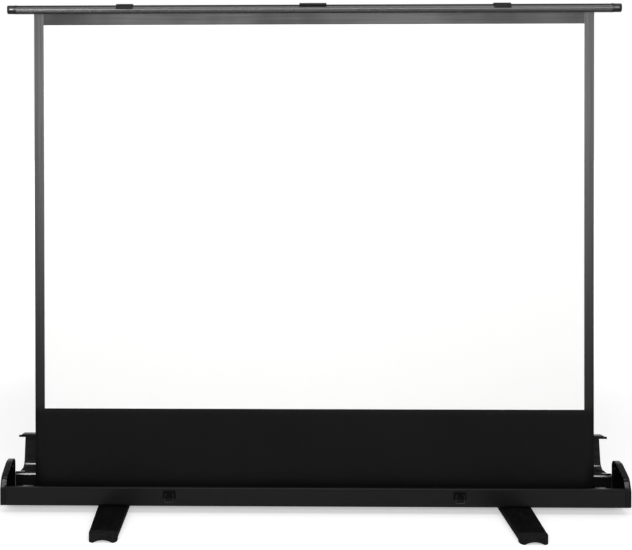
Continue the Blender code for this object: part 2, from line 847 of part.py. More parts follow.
def make_bar():
    """The extruded bar, with the slot that the screen's top hem slides into, and the rod in the hem."""
    length = bar_length - 2 * bar_end_length
    bar = plate("top_bar", [bar_outline()], length - 2 * gap, on_bar(0, 0, 0), "x", black_metal, bar_frame)
    hem_z = bar_bottom + hem_depth
    slot = block("hem_slot", (bar_length, hem_slot, 2 * hem_depth), on_bar(0, fabric_y, bar_bottom), None, bar_frame)
    bore = rod("hem_bore", hem_bore, bar_length, on_bar(0, fabric_y, hem_z), "x", None, bar_frame)
    subtract(bar, slot, bore)
    rod("hem_rod", hem_radius, fabric_width, on_bar(0, fabric_y, hem_z), "x", bare_aluminium, bar_frame)
    return bar


def make_bar_end(side, way):
    """The glossy cap on one end of the bar, with a collar against the bar."""
    middle_x = way * (bar_length - bar_end_length) / 2
    end = plate(f"bar_end_{side}", [bar_outline(-bar_end_inset)], bar_end_length, on_bar(middle_x, 0, 0), "x",
                gloss_plastic, bar_frame)
    soften(end, bar_bevel, 3)
    collar_x = way * (bar_length / 2 - bar_end_length + bar_collar / 2)
    collar = plate(f"bar_collar_{side}", [bar_outline(bar_collar_rise)], bar_collar, on_bar(collar_x, 0, 0), "x",
                   None, bar_frame)
    return unite(end, collar)


def make_wrap(name, spot, length, thickness, front_drop, rear_end):
    """A pad bent over the bar, down its front and down or part way across to its rear."""
    away = gap + thickness / 2
    front = fabric_y - bar_depth / 2 - away
    top = bar_bottom + bar_height + away
    path = [(front, top - front_drop), (front, top), rear_end]
    corners = [0, bar_corner + away, 0]
    if rear_end[1] < top:
        path.insert(2, (rear_end[0], top))
        corners.insert(2, bar_corner + away)
    wrap = plate(name, [strip(rounded(path, corners, closed=False), thickness)], length, on_bar(spot, 0, 0), "x",
                 black_plastic, bar_frame)
    return soften(wrap, thickness / 4, 2)


make_bar()
for side, way in sides:
    make_bar_end(side, way)
    clip_away = gap + clip_thickness / 2
    clip_end = (fabric_y + bar_depth / 2 + clip_away, bar_bottom + bar_height - clip_reach)
    make_wrap(f"bar_clip_{side}", way * clip_spot, clip_length, clip_thickness, clip_reach + clip_away, clip_end)
grip_end = (fabric_y + bar_depth / 2 - grip_back, bar_bottom + bar_height + gap + grip_thickness / 2)
make_wrap("bar_grip", 0, grip_length, grip_thickness, bar_height, grip_end)


# Lid and its hinge

lid_frame = joint_frame("lid_hinge", (0, hinge_y, case_split), (-lid_open_angle, 0, 0))


def in_lid(across, along, up):
    """A place on the closed case, as the lid's frame sees it."""
    return (across, along - hinge_y, up - case_split)


def make_lid():
    """The lid: one bent sheet with a deep rear flange and a front lip, and the seal along its lip."""
    inner = half_depth - tray_wall / 2
    low, top = case_split + running_gap, lid_top - tray_wall / 2
    corners = [(inner, low), (inner, top), (-inner, top), (-inner, low)]
    path = rounded(corners, [0, lid_rear_radius, lid_front_radius, 0], closed=False)
    plate("lid", [strip(path, tray_wall)], lid_length, in_lid(0, 0, 0), "x", black_metal, lid_frame)
    seal_low = (-half_depth + tray_wall + gap, low)
    seal_high = (seal_low[0] + seal_width, low + seal_height)
    outline = box_outline(seal_low, seal_high, seal_width / 4)
    plate("lid_seal", [outline], seal_length, in_lid(0, 0, 0), "x", rubber, lid_frame)


def hinge_outline(direction):
    """A hinge leaf's cross-section about its pin: a plate that rises or falls from an eye."""
    meet = acos((hinge_leaf_thickness - knuckle_radius) / knuckle_radius)
    turn = (pi + meet) / eye_steps
    eye = [(knuckle_radius * cos(at * turn - meet), -direction * knuckle_radius * sin(at * turn - meet))
           for at in range(eye_steps + 1)]
    end = direction * hinge_leaf
    return [(-knuckle_radius, end), (hinge_leaf_thickness - knuckle_radius, end)] + eye


def make_hinge_leaf(name, direction, first_notch, centre, frame):
    """One leaf of the long hinge, with a notch wherever the other leaf has its eye."""
    hole = circle(0, 0, hinge_pin_radius + gap, eye_steps)
    leaf = plate(name, [hinge_outline(direction), hole], hinge_length, centre, "x", black_metal, frame)
    pitch = hinge_length / hinge_knuckles
    for at in range(first_notch, hinge_knuckles, 2):
        size = (pitch + gap, 4 * knuckle_radius, 4 * knuckle_radius)
        middle = (at + 0.5) * pitch - hinge_length / 2
        drop = direction * (knuckle_radius + running_gap - size[2] / 2)
        place = (middle, centre[1] + knuckle_radius, centre[2] + drop)
        subtract(leaf, block(f"{name}_notch_{at}", size, place, None, frame))
    return leaf


def make_lid_stop(side, way):
    """A bracket behind the case that the open lid's rear flange rests on."""
    plate_y = half_depth + gap + stop_thickness / 2
    upright_y = hinge_y + stop_reach
    touch_y = stop_reach + stop_thickness / 2
    offset = hinge_y - half_depth
    along = (touch_y + offset * cos(lid_open_angle)) / sin(lid_open_angle)
    touch_z = case_split + offset * sin(lid_open_angle) + along * cos(lid_open_angle) - gap
    path = [(plate_y, case_bottom + stop_low), (plate_y, case_bottom + stop_arm),
            (upright_y, case_bottom + stop_arm), (upright_y, touch_z)]
    return plate(f"lid_stop_{side}", [strip(path, stop_thickness)], stop_width, (way * stop_spot, 0, 0), "x",
                 bright_steel)


make_lid()
for side, way in sides:
    make_lid_stop(side, way)
make_hinge_leaf("hinge_case_leaf", -1, 1, (0, hinge_y, case_split), None)
make_hinge_leaf("hinge_lid_leaf", 1, 0, (0, 0, 0), lid_frame)
rod("hinge_pin", hinge_pin_radius, hinge_length, (0, hinge_y, case_split), "x", bright_steel)


# Latches

latch_z = case_bottom + latch_height_up
lever_pivot_y = -half_depth - gap - latch_plate - lever_clearance - lever_half
lever_pivot_z = latch_z + latch_height / 2 - lever_pin_drop
ear_middle = lever_width / 2 + gap + ear_thickness / 2
loop_half = ear_middle + ear_thickness / 2 + gap + loop_wire


def make_latch_base(side, spot):
    """The latch's plate on the front wall, with two ears and the pin between them."""
    plate_y = -half_depth - gap - latch_plate / 2
    base = block(f"latch_base_{side}", (latch_width, latch_plate, latch_height), (spot, plate_y, latch_z),
                 black_plastic)
    soften(base, latch_corner, 2)
    ear_reach = plate_y - lever_pivot_y + lever_pin_radius * 2
    for end in (-1, 1):
        ear_size = (ear_thickness, ear_reach, ear_height)
        ear_place = (spot + end * ear_middle, plate_y - ear_reach / 2, lever_pivot_z)
        unite(base, block(f"latch_ear_{side}_{end + 1}", ear_size, ear_place))
    pin_place = (spot, lever_pivot_y, lever_pivot_z)
    unite(base, rod(f"latch_pin_{side}", lever_pin_radius, 2 * ear_middle, pin_place, "x"))
    return base


def make_lever(side, spot):
    """The latch's lever, which hangs from its pin, and the wire loop that it draws down. The loop passes the ears."""
    frame = joint_frame(f"latch_pivot_{side}", (spot, lever_pivot_y, lever_pivot_z))
    top = lever_half * 1.2
    corners = [(lever_half, top), (lever_half, lever_kick - lever_length), (-lever_kick, -lever_length - lever_kick),
               (-lever_half - lever_kick, -lever_length), (-lever_half, lever_kick - lever_length), (-lever_half, top)]
    outline = rounded(corners, [lever_half * 0.8, 0, 0, 0, 0, lever_half * 0.8])
    holes = [circle(0, 0, lever_pin_radius + gap, fine_sides), circle(0, -loop_drop, loop_wire + gap, fine_sides)]
    plate(f"latch_lever_{side}", [outline] + holes, lever_width, (0, 0, 0), "x", black_plastic, frame)
    loop_frame = joint_frame(f"latch_loop_pivot_{side}", (0, 0, -loop_drop), (0, 0, 0), frame)
    end_x = lever_width / 2 - loop_end
    flat = [(-end_x, 0), (-loop_half, 0), (-loop_half, -loop_length), (loop_half, -loop_length), (loop_half, 0),
            (end_x, 0)]
    bends = [0, loop_wire, loop_bend, loop_bend, loop_wire, 0]
    path = [(across, 0, up) for across, up in rounded(flat, bends, closed=False)]
    bent_rod(f"latch_loop_{side}", path, loop_wire, bright_steel, loop_frame)


def make_keeper(side, spot):
    """The hook on the lid's lip that the latch's loop draws on."""
    plate_y = -half_depth - gap - keeper_thickness / 2
    seat_z = lever_pivot_z - loop_drop + loop_length - loop_wire - gap - keeper_thickness / 2
    hook_y = lever_pivot_y - loop_wire - gap - keeper_thickness / 2
    path = [(plate_y, seat_z + keeper_height), (plate_y, seat_z), (hook_y, seat_z), (hook_y, seat_z + keeper_lip)]
    plate(f"latch_keeper_{side}", [strip(path, keeper_thickness)], keeper_width, in_lid(spot, 0, 0), "x",
          bright_steel, lid_frame)


for side, way in sides:
    make_latch_base(side, way * latch_spot)
    make_lever(side, way * latch_spot)
    make_keeper(side, way * latch_spot)


# Carrying handle


def make_handle():
    """A bail on the lid that hangs plumb while the lid stands open."""
    axis = in_lid(0, handle_spot, lid_top + gap + handle_rise)
    frame = joint_frame("handle_pivot", axis, (lid_open_angle - pi / 2, 0, 0), lid_frame)
    arm_x = handle_span / 2 - handle_turn - running_gap
    end_x = handle_span / 2 + handle_grip
    flat = [(-end_x, 0), (-arm_x, 0), (-arm_x, handle_reach), (arm_x, handle_reach), (arm_x, 0), (end_x, 0)]
    bends = [0, handle_turn, handle_bend, handle_bend, handle_turn, 0]
    path = [(across, along, 0) for across, along in rounded(flat, bends, closed=False)]
    bent_rod("carry_handle", path, handle_wire, black_plastic, frame)


def make_handle_mount(side, way):
    """The block on the lid that one end of the handle turns in."""
    spot = way * (handle_span / 2 + running_gap + mount_length / 2)
    size = (mount_length, mount_width, mount_height)
    mount = block(f"handle_mount_{side}", size, in_lid(spot, handle_spot, lid_top + gap + mount_height / 2),
                  black_plastic, lid_frame)
    soften(mount, mount_corner, 3)
    bore_place = in_lid(spot, handle_spot, lid_top + gap + handle_rise)
    return subtract(mount, rod(f"handle_bore_{side}", handle_wire + gap, mount_length * 2, bore_place, "x", None,
                               lid_frame, circle_sides))


make_handle()
for side, way in sides:
    make_handle_mount(side, way)
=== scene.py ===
"""The looks of the pull-up projection screen: its finishes, its detailed pieces, light and camera."""

import json
from math import cos, pi, radians, sin, tan

import bmesh
import bpy
from mathutils import Matrix, Vector


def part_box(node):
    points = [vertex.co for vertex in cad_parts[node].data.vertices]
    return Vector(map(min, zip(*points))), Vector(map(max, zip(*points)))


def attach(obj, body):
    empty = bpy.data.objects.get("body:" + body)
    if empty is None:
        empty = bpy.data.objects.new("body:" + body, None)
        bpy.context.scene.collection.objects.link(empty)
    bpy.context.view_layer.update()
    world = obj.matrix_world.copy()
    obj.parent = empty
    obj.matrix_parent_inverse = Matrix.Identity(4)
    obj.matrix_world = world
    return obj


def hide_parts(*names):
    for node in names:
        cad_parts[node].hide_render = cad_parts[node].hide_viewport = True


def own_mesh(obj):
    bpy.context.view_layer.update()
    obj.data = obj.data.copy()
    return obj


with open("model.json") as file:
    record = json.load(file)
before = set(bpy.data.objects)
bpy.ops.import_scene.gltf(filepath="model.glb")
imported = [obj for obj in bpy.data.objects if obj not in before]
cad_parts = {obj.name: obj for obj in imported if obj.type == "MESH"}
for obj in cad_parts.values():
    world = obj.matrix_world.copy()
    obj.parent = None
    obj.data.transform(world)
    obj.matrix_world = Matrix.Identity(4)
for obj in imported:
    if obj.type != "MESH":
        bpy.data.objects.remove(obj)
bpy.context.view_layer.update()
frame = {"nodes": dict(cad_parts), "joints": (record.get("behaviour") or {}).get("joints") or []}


# Shader writing


class Wire:
    """One output of a finish's nodes, which sums can be written with."""

    def __init__(self, finish, socket):
        self.finish = finish
        self.socket = socket

    def sum(self, operation, *values):
        return self.finish.node("Math", {"operation": operation}, *values)

    def __add__(self, other):
        return self.sum("ADD", self, other)

    def __sub__(self, other):
        return self.sum("SUBTRACT", self, other)

    def __rsub__(self, other):
        return self.sum("SUBTRACT", other, self)

    def __mul__(self, other):
        return self.sum("MULTIPLY", self, other)

    def __gt__(self, other):
        return self.sum("GREATER_THAN", self, other)

    def __lt__(self, other):
        return self.sum("LESS_THAN", self, other)

    __radd__ = __add__
    __rmul__ = __mul__

    def clear(self, low, high):
        """Goes smoothly from 0 at low to 1 at high."""
        return self.finish.node("MapRange", {"interpolation_type": "SMOOTHSTEP"}, self, low, high)

    def wave(self):
        return self.sum("SINE", self)


class Finish:
    """A procedural finish, named for what it is on the real screen."""

    def __init__(self, name, colour, roughness, metallic=0.0, **constants):
        self.material = bpy.data.materials.new(name)
        self.material.use_nodes = True
        self.tree = self.material.node_tree
        self.shader = self.tree.nodes["Principled BSDF"]
        self.shader.inputs["Base Color"].default_value = colour
        self.shader.inputs["Roughness"].default_value = roughness
        self.shader.inputs["Metallic"].default_value = metallic
        for socket, value in constants.items():
            self.shader.inputs[socket.replace("_", " ")].default_value = value
        self.place = self.node("TexCoord", {}, output="Object")

    def node(self, kind, settings, *values, output=0, **named):
        """Adds a node, sets it up, and fills its sockets in order or by name."""
        made = self.tree.nodes.new(f"ShaderNode{kind}")
        for setting, value in settings.items():
            setattr(made, setting, value)
        sockets = [socket for socket in made.inputs if socket.enabled]
        by_name = {socket.name: socket for socket in reversed(sockets)}
        filled = list(zip(sockets, values))
        filled += [(by_name[name.replace("_", " ")], value) for name, value in named.items()]
        for socket, value in filled:
            if isinstance(value, Wire):
                self.tree.links.new(value.socket, socket)
            else:
                socket.default_value = value
        results = [socket for socket in made.outputs if socket.enabled]
        named_results = {socket.name: socket for socket in results}
        return Wire(self, named_results[output] if isinstance(output, str) else results[output])

    def stretched(self, across, along, up):
        """The place, scaled along each axis."""
        return self.node("VectorMath", {"operation": "MULTIPLY"}, self.place, (across, along, up))

    def scaled(self, place, across, along):
        """A place on a flat sheet, scaled along and across it."""
        return self.node("VectorMath", {"operation": "MULTIPLY"}, place, (across, along, 0.0))

    def noise(self, scale, detail=2.0, place=None):
        """A soft random value about a half, at a number of grains to the metre."""
        return self.node("TexNoise", {}, place or self.place, Scale=scale, Detail=detail)

    def blend(self, share, first, second):
        """A colour between two, by a share."""
        return self.node("Mix", {"data_type": "RGBA"}, Factor=share, A=first, B=second, output="Result")

    def feed(self, socket, value):
        """Leads a value to one of the shader's own sockets."""
        self.tree.links.new(value.socket, self.shader.inputs[socket])

    def relief(self, height, depth):
        """Raises the surface by a height, in metres at full value."""
        self.feed("Normal", self.node("Bump", {}, Strength=1.0, Distance=depth, Height=height))


def colour_of(level):
    """A grey of one level, very slightly cool."""
    return (level, level, level * 1.02, 1)


# Finishes


def paint_finish():
    """Satin black paint on extruded aluminium: fine peel, and faint draw lines along the extrusion."""
    paint = Finish("satin_black_paint", colour_of(0.006), 0.36, Specular_IOR_Level=0.15)
    lines = paint.noise(1.0, 3.0, paint.stretched(2.0, 700.0, 700.0))
    peel = paint.noise(1500.0, 1.0)
    smudge = paint.noise(9.0, 4.0)
    paint.feed("Roughness", 0.30 + smudge * 0.13 + peel * 0.03)
    paint.relief(lines * 0.5 + peel * 0.5, 0.000018)
    return paint.material


def bar_finish():
    """Semi-gloss black on the drawn bar, which takes one long highlight."""
    paint = Finish("semi_gloss_bar_paint", colour_of(0.006), 0.27, Specular_IOR_Level=0.72)
    smudge = paint.noise(14.0, 4.0)
    paint.feed("Roughness", 0.22 + smudge * 0.09)
    paint.relief(paint.noise(1.0, 2.0, paint.stretched(2.0, 500.0, 500.0)), 0.000012)
    return paint.material


def moulded_finish(name, level, roughness, grain):
    """Moulded black plastic with a spark-eroded grain."""
    plastic = Finish(name, colour_of(level), roughness, Specular_IOR_Level=0.16)
    grit = plastic.noise(grain, 3.0)
    wear = plastic.noise(24.0, 4.0)
    plastic.feed("Roughness", (roughness - 0.05) + wear * 0.10)
    plastic.feed("Base Color", plastic.blend(wear, colour_of(level * 0.8), colour_of(level * 1.25)))
    plastic.relief(grit, 0.00005)
    return plastic.material


def matt_finish():
    """Dead matt black, for what stays darkest: feet and latches."""
    matt = Finish("matt_black_coating", colour_of(0.0022), 0.7, Specular_IOR_Level=0.06)
    dust = matt.noise(55.0, 5.0)
    matt.feed("Base Color", matt.blend(dust.clear(0.4, 0.8), colour_of(0.0016), colour_of(0.0040)))
    matt.relief(matt.noise(2200.0, 2.0), 0.00004)
    return matt.material


def gloss_finish(name, shine):
    """Glossy black moulding, with light handling marks."""
    gloss = Finish(name, colour_of(0.004), 0.12, Specular_IOR_Level=shine)
    marks = gloss.noise(60.0, 6.0)
    gloss.feed("Roughness", 0.08 + marks.clear(0.45, 0.75) * 0.14)
    gloss.relief(gloss.noise(40.0, 1.0), 0.00002)
    return gloss.material


def rubber_finish():
    """Dull black rubber with a dusty bloom."""
    rubber = Finish("black_rubber", colour_of(0.006), 0.78, Specular_IOR_Level=0.12)
    bloom = rubber.noise(70.0, 5.0)
    rubber.feed("Base Color", rubber.blend(bloom.clear(0.35, 0.8), colour_of(0.0035), colour_of(0.009)))
    rubber.relief(rubber.noise(2600.0, 2.0), 0.00004)
    return rubber.material


def anodised_finish(name, level, axis, lean=0.0):
    """Satin anodised aluminium with draw lines along one axis, or along a tube that leans by an angle."""
    metal = Finish(name, colour_of(level), 0.34, 0.95)
    scale = [900.0, 900.0, 900.0]
    scale[axis] = 4.0
    metal.place = metal.node("Mapping", {}, metal.place, Rotation=(0, lean, 0))
    lines = metal.noise(1.0, 3.0, metal.stretched(*scale))
    metal.feed("Roughness", 0.26 + lines * 0.16)
    metal.feed("Base Color", metal.blend(lines, colour_of(level * 0.88), colour_of(level * 1.08)))
    metal.relief(lines, 0.000012)
    return metal.material


def zinc_finish():
    """Zinc-plated steel: bright, with a faint mottle."""
    zinc = Finish("zinc_plated_steel", (0.60, 0.61, 0.63, 1), 0.28, 1.0)
    spangle = zinc.node("TexVoronoi", {}, Scale=260.0, output="Color")
    mottle = zinc.noise(90.0, 4.0)
    tone = zinc.blend(mottle, (0.50, 0.51, 0.52, 1), (0.68, 0.69, 0.71, 1))
    zinc.feed("Base Color", zinc.blend(0.08, tone, spangle))
    zinc.feed("Roughness", 0.20 + mottle * 0.18)
    zinc.relief(mottle, 0.00002)
    return zinc.material


satin_paint = paint_finish()
fine_plastic = moulded_finish("grained_black_plastic", 0.004, 0.42, 1800.0)
smooth_plastic = moulded_finish("smooth_black_plastic", 0.005, 0.30, 2600.0)
bar_gloss = gloss_finish("gloss_bar_moulding", 0.32)
end_gloss = gloss_finish("gloss_case_moulding", 0.15)
matt_black = matt_finish()
bar_paint = bar_finish()
dull_rubber = rubber_finish()
arm_lean = 0.2742
arm_metals = {
    "left": anodised_finish("satin_tube_leaning_left", 0.56, 2, arm_lean),
    "right": anodised_finish("satin_tube_leaning_right", 0.56, 2, -arm_lean),
}
dark_wire = anodised_finish("blacked_wire", 0.05, 0)
# Pale metal on the ridges, as a painted highlight line
highlight_ridge_metal = anodised_finish("painted_highlight_ridge", 0.17, 0)
long_metal = anodised_finish("satin_long_tube", 0.56, 0)
plated_steel = zinc_finish()


# Camera, light and floor

camera_place = Vector((-0.15603, -2.8232, 1.20798))
camera_turn, camera_tilt, camera_roll = 0.01512, -0.00607, -0.0019
focal_pixels, centre_across, centre_down = 929.7, 247.1, 116.827
frame_width, frame_height = 632, 550
surround_light = 0.5
floor_size = 40
floor_glow, far_glow = 0.42, 0.4
glow_from, glow_to = 1.2, 3.5
# Each lamp's name, place, target, width, height and power
lamps = (
    ("key_box", (0.1, -3.5, 1.95), (0, 0, 1.1), 5.0, 0.5, 62),
    ("top_box", (0.1, -2.1, 3.5), (0, 0, 1.0), 4.6, 0.9, 50),
    ("side_box", (-1.50, -2.823, 1.823), (-0.908, -0.032, 1.516), 0.70, 0.08, 8),
)


def set_camera():
    """Stands the camera where the photograph was taken from."""
    bpy.ops.object.camera_add(location=camera_place)
    camera = bpy.context.object
    turn = Matrix.Rotation(camera_turn, 4, "Z") @ Matrix.Rotation(pi / 2 + camera_tilt, 4, "X")
    camera.matrix_world = Matrix.Translation(camera_place) @ turn @ Matrix.Rotation(camera_roll, 4, "Z")
    lens = camera.data
    lens.sensor_width = 36
    lens.lens = focal_pixels * lens.sensor_width / frame_width
    lens.shift_x = (frame_width / 2 - centre_across) / frame_width
    lens.shift_y = (centre_down - frame_height / 2) / frame_width
    lens.clip_end = 100
    bpy.context.scene.camera = camera


def set_world():
    """A soft pale surround that the camera and mirror rays see as white."""
    world = bpy.data.worlds.new("pale_surround")
    bpy.context.scene.world = world
    world.use_nodes = True
    nodes, links = world.node_tree.nodes, world.node_tree.links
    seen = nodes["Background"]
    seen.inputs["Color"].default_value = (1, 1, 1, 1)
    path = nodes.new("ShaderNodeLightPath")
    seen_directly = path.outputs["Is Camera Ray"]
    for ray in ("Is Glossy Ray", "Is Transmission Ray"):
        either = nodes.new("ShaderNodeMath")
        either.operation = "MAXIMUM"
        links.new(seen_directly, either.inputs[0])
        links.new(path.outputs[ray], either.inputs[1])
        seen_directly = either.outputs["Value"]
    strength = nodes.new("ShaderNodeMapRange")
    strength.inputs["To Min"].default_value = surround_light
    links.new(seen_directly, strength.inputs["Value"])
    links.new(strength.outputs["Result"], seen.inputs["Strength"])


def add_lamp(name, place, target, width, height, power):
    """One soft box, turned toward a target."""
    bpy.ops.object.light_add(type="AREA", location=place)
    lamp = bpy.context.object
    lamp.name = name
    lamp.rotation_euler = (Vector(target) - Vector(place)).to_track_quat("-Z", "Y").to_euler()
    lamp.data.shape = "RECTANGLE"
    lamp.data.size = width
    lamp.data.size_y = height
    lamp.data.energy = power


def set_floor():
    """A pale floor that the camera sees as white, and that keeps the screen's shadow."""
    bpy.ops.mesh.primitive_plane_add(size=floor_size, location=(0, 0, 0))
    floor = bpy.context.object
    floor.name = "studio_floor"
    pale = Finish("pale_floor", (0.80, 0.80, 0.80, 1), 0.9, Specular_IOR_Level=0.1)
    path = pale.node("LightPath", {}, output="Is Camera Ray")
    distance = pale.node("VectorMath", {"operation": "LENGTH"}, pale.place, output="Value")
    far = distance.clear(glow_from, glow_to)
    pale.feed("Emission Color", path * (floor_glow + far * far_glow))
    pale.shader.inputs["Emission Strength"].default_value = 1
    floor.data.materials.append(pale.material)


bpy.ops.object.select_all(action="DESELECT")
set_camera()
set_world()
for lamp in lamps:
    add_lamp(*lamp)
set_floor()
bpy.context.scene.view_settings.view_transform = "Standard"


# Modelling helpers

sides = (("left", -1), ("right", 1))
weld = 0.00001
clearance = 0.0003


def corners_of(*nodes):
    """The low and high corners of some CAD nodes together, in metres."""
    boxes = [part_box(node) for node in nodes]
    low = [min(box[0][axis] for box in boxes) for axis in range(3)]
    high = [max(box[1][axis] for box in boxes) for axis in range(3)]
    return Vector(low), Vector(high)


def edit(thing):
    """Takes one object alone into edit mode, with its whole mesh selected."""
    if bpy.context.mode != "OBJECT":
        bpy.ops.object.mode_set(mode="OBJECT")
    bpy.ops.object.select_all(action="DESELECT")
    thing.select_set(True)
    bpy.context.view_layer.objects.active = thing
    bpy.ops.object.mode_set(mode="EDIT")
    bpy.ops.mesh.select_all(action="SELECT")


def leave():
    """Leaves edit mode."""
    bpy.ops.object.mode_set(mode="OBJECT")
    return bpy.context.object


def choose(thing, test):
    """In edit mode, selects only the faces that pass a test of their middle and normal."""
    bpy.ops.mesh.select_all(action="DESELECT")
    shape = bmesh.from_edit_mesh(thing.data)
    for face in shape.faces:
        face.select_set(test(face.calc_center_median(), face.normal))
    shape.select_flush_mode()
    bmesh.update_edit_mesh(thing.data)


def on_axis(axis, along, first, second):
    """A place by its distance along one axis and its two coordinates across it, in turn after that axis."""
    place = [0, 0, 0]
    start = "xyz".index(axis)
    for step, value in enumerate((along, first, second)):
        place[(start + step) % 3] = value
    return tuple(place)


def rounded(corners, radii, steps=4):
    """The corners of a closed outline, each rounded by its own radius."""
    outline = []
    for at, radius in enumerate(radii):
        corner = Vector(corners[at])
        before = (Vector(corners[at - 1]) - corner).normalized()
        after = (Vector(corners[(at + 1) % len(corners)]) - corner).normalized()
        if not radius:
            outline.append(tuple(corner))
            continue
        half = before.angle(after) / 2
        centre = corner + (before + after).normalized() * (radius / sin(half))
        start, end = [corner + way * (radius / tan(half)) - centre for way in (before, after)]
        for step in range(steps + 1):
            turned = start.lerp(end, step / steps).normalized()
            outline.append(tuple(centre + turned * radius))
    return outline


def oblong(low, high, radius, steps=4):
    """A rectangle's outline with rounded corners."""
    corners = [(low[0], low[1]), (high[0], low[1]), (high[0], high[1]), (low[0], high[1])]
    return rounded(corners, [radius] * 4, steps)


def ring(centre, radius, count):
    """The corners of a round outline."""
    angles = [2 * pi * step / count for step in range(count)]
    return [(centre[0] + radius * cos(angle), centre[1] + radius * sin(angle)) for angle in angles]


def bar(name, axis, outline, low, high):
    """A closed bar: one outline across an axis, extruded from low to high."""
    bpy.ops.mesh.primitive_circle_add(vertices=len(outline), fill_type="NGON")
    made = bpy.context.object
    made.name = name
    for vertex, (first, second) in zip(made.data.vertices, outline):
        vertex.co = on_axis(axis, low, first, second)
    edit(made)
    bpy.ops.mesh.extrude_region_move(TRANSFORM_OT_translate={"value": on_axis(axis, high - low, 0, 0)})
    bpy.ops.mesh.select_all(action="SELECT")
    bpy.ops.mesh.normals_make_consistent(inside=False)
    return leave()


def disc(name, axis, radius, centre, half_length, sides=24):
    """A short round bar about a centre."""
    start = "xyz".index(axis)
    across = (centre[(start + 1) % 3], centre[(start + 2) % 3])
    along = centre[start]
    return bar(name, axis, ring(across, radius, sides), along - half_length, along + half_length)


def finish_modifier(thing, kind, **settings):
    """Adds a modifier, sets it up, and applies it."""
    edit(thing)
    leave()
    modifier = thing.modifiers.new(kind.lower(), kind)
    for setting, value in settings.items():
        setattr(modifier, setting, value)
    bpy.ops.object.modifier_apply(modifier=modifier.name)
    return thing


def soften(thing, width, segments=2, angle=28):
    """Rounds the edges that turn by more than an angle."""
    return finish_modifier(thing, "BEVEL", width=width, segments=segments, limit_method="ANGLE",
                           angle_limit=radians(angle), harden_normals=False)


def cut(thing, *tools):
    """Takes each tool's shape out of a piece."""
    for tool in tools:
        finish_modifier(thing, "BOOLEAN", operation="DIFFERENCE", solver="EXACT", object=tool)
        bpy.data.objects.remove(tool)
    return thing


def gather(name, things):
    """Joins separate solids into one piece."""
    edit(things[0])
    leave()
    for thing in things:
        thing.select_set(True)
    bpy.ops.object.join()
    bpy.context.object.name = name
    return bpy.context.object


def copied(thing, step):
    """A copy with its own mesh, a step away."""
    twin = thing.copy()
    twin.data = thing.data.copy()
    bpy.context.collection.objects.link(twin)
    twin.data.transform(Matrix.Translation(step))
    return twin


def repeated(thing, steps):
    """One solid and its copies, each a step away from it."""
    return [thing] + [copied(thing, step) for step in steps]


def pivot_place(joint_name):
    """Where a joint's axis is, in metres."""
    joint = next(joint for joint in frame["joints"] if joint["name"] == joint_name)
    return Vector(joint["pos_m"])


def place(thing, name, material, body, replaced, smooth=32):
    """Names a finished piece, dresses it, smooths it, and puts it on its body in place of its CAD nodes."""
    edit(thing)
    leave()
    bpy.ops.object.shade_smooth_by_angle(angle=radians(smooth))
    thing.name = name
    thing.data.name = name
    thing.data.materials.clear()
    thing.data.materials.append(material)
    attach(thing, body)
    if replaced:
        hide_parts(*replaced)
    return thing


def solid_copy(node):
    """A CAD node's solid as a clean mesh: its corners merged and its flat faces made whole."""
    source = frame["nodes"][node]
    bpy.ops.object.select_all(action="DESELECT")
    twin = source.copy()
    twin.data = source.data.copy()
    twin.parent = None
    twin.matrix_world = Matrix.Identity(4)
    bpy.context.scene.collection.objects.link(twin)
    edit(twin)
    bpy.ops.mesh.remove_doubles(threshold=weld)
    bpy.ops.mesh.dissolve_limited(angle_limit=radians(0.5))
    return leave()


def soft_solid(node, width, segments=2, angle=32):
    """A CAD node's solid with its edges rounded, as the real one's are."""
    return soften(solid_copy(node), width, segments, angle)


def soft_copy(node, name, material, body, width, segments=2):
    """A piece whose solid is right as it is, once its edges are rounded."""
    place(soft_solid(node, width, segments), name, material, body, [node])


# Screen sheet

path_step = 0.024
hem_length = 0.014
hem_steps = 8
sheet_columns = 44
ripple_height = 0.00035
ripple_rate = 15
edge_curl = 0.0012
# Height up the sheet where the painted sheen on the black border starts
sheen_rise = 0.12
edge_blur = 0.02
weave_width, weave_length = 1.684, 1.5
weave_rate = 4200.0


def sheet_path():
    """The sheet's way in Y and Z: up from the roll, through the slot, round the hem rod and down behind."""
    roll_low, roll_high = corners_of("wound_fabric")
    rod_low, rod_high = corners_of("hem_rod")
    front = corners_of("screen_fabric")[0].y
    slot_rise = corners_of("top_bar")[0].z
    start = (roll_low.z + roll_high.z) / 2
    rod = (rod_low + rod_high) / 2
    reach = (rod_high.z - rod_low.z) / 2 + clearance
    rise = rod.z - start
    count = round(rise / path_step)
    path = [(front, start + rise * step / count) for step in range(count)]
    angles = [pi * step / hem_steps for step in range(hem_steps + 1)]
    path += [(rod.y - reach * cos(angle), rod.z + reach * sin(angle)) for angle in angles]
    behind = front + 2 * clearance
    return path + [(rod.y + reach, rod.z - reach), (behind, slot_rise), (behind, slot_rise - hem_length)]


def lengths_along(path):
    """How far along a path each of its points is."""
    lengths = [0.0]
    for first, second in zip(path, path[1:]):
        lengths.append(lengths[-1] + (Vector(second) - Vector(first)).length)
    return lengths


def lay_out(sheet, path, lengths, width):
    """Puts a flat grid's points on the sheet's way, with a slight ripple, and its map at true lengths."""
    across = sheet_columns + 1
    start = path[0][1]
    for at, vertex in enumerate(sheet.data.vertices):
        row, column = divmod(at, across)
        share = column / sheet_columns * 2 - 1
        depth, height = path[row]
        drawn = sin(pi * min(1.0, lengths[row] / start / 28))
        wave = sin(share * ripple_rate) * ripple_height + share**10 * edge_curl
        vertex.co = (share * width / 2, depth + wave * drawn, height)
    for corner in sheet.data.loops:
        row, column = divmod(corner.vertex_index, across)
        sheet.data.uv_layers[0].data[corner.index].uv = (column / sheet_columns, lengths[row] / lengths[-1])


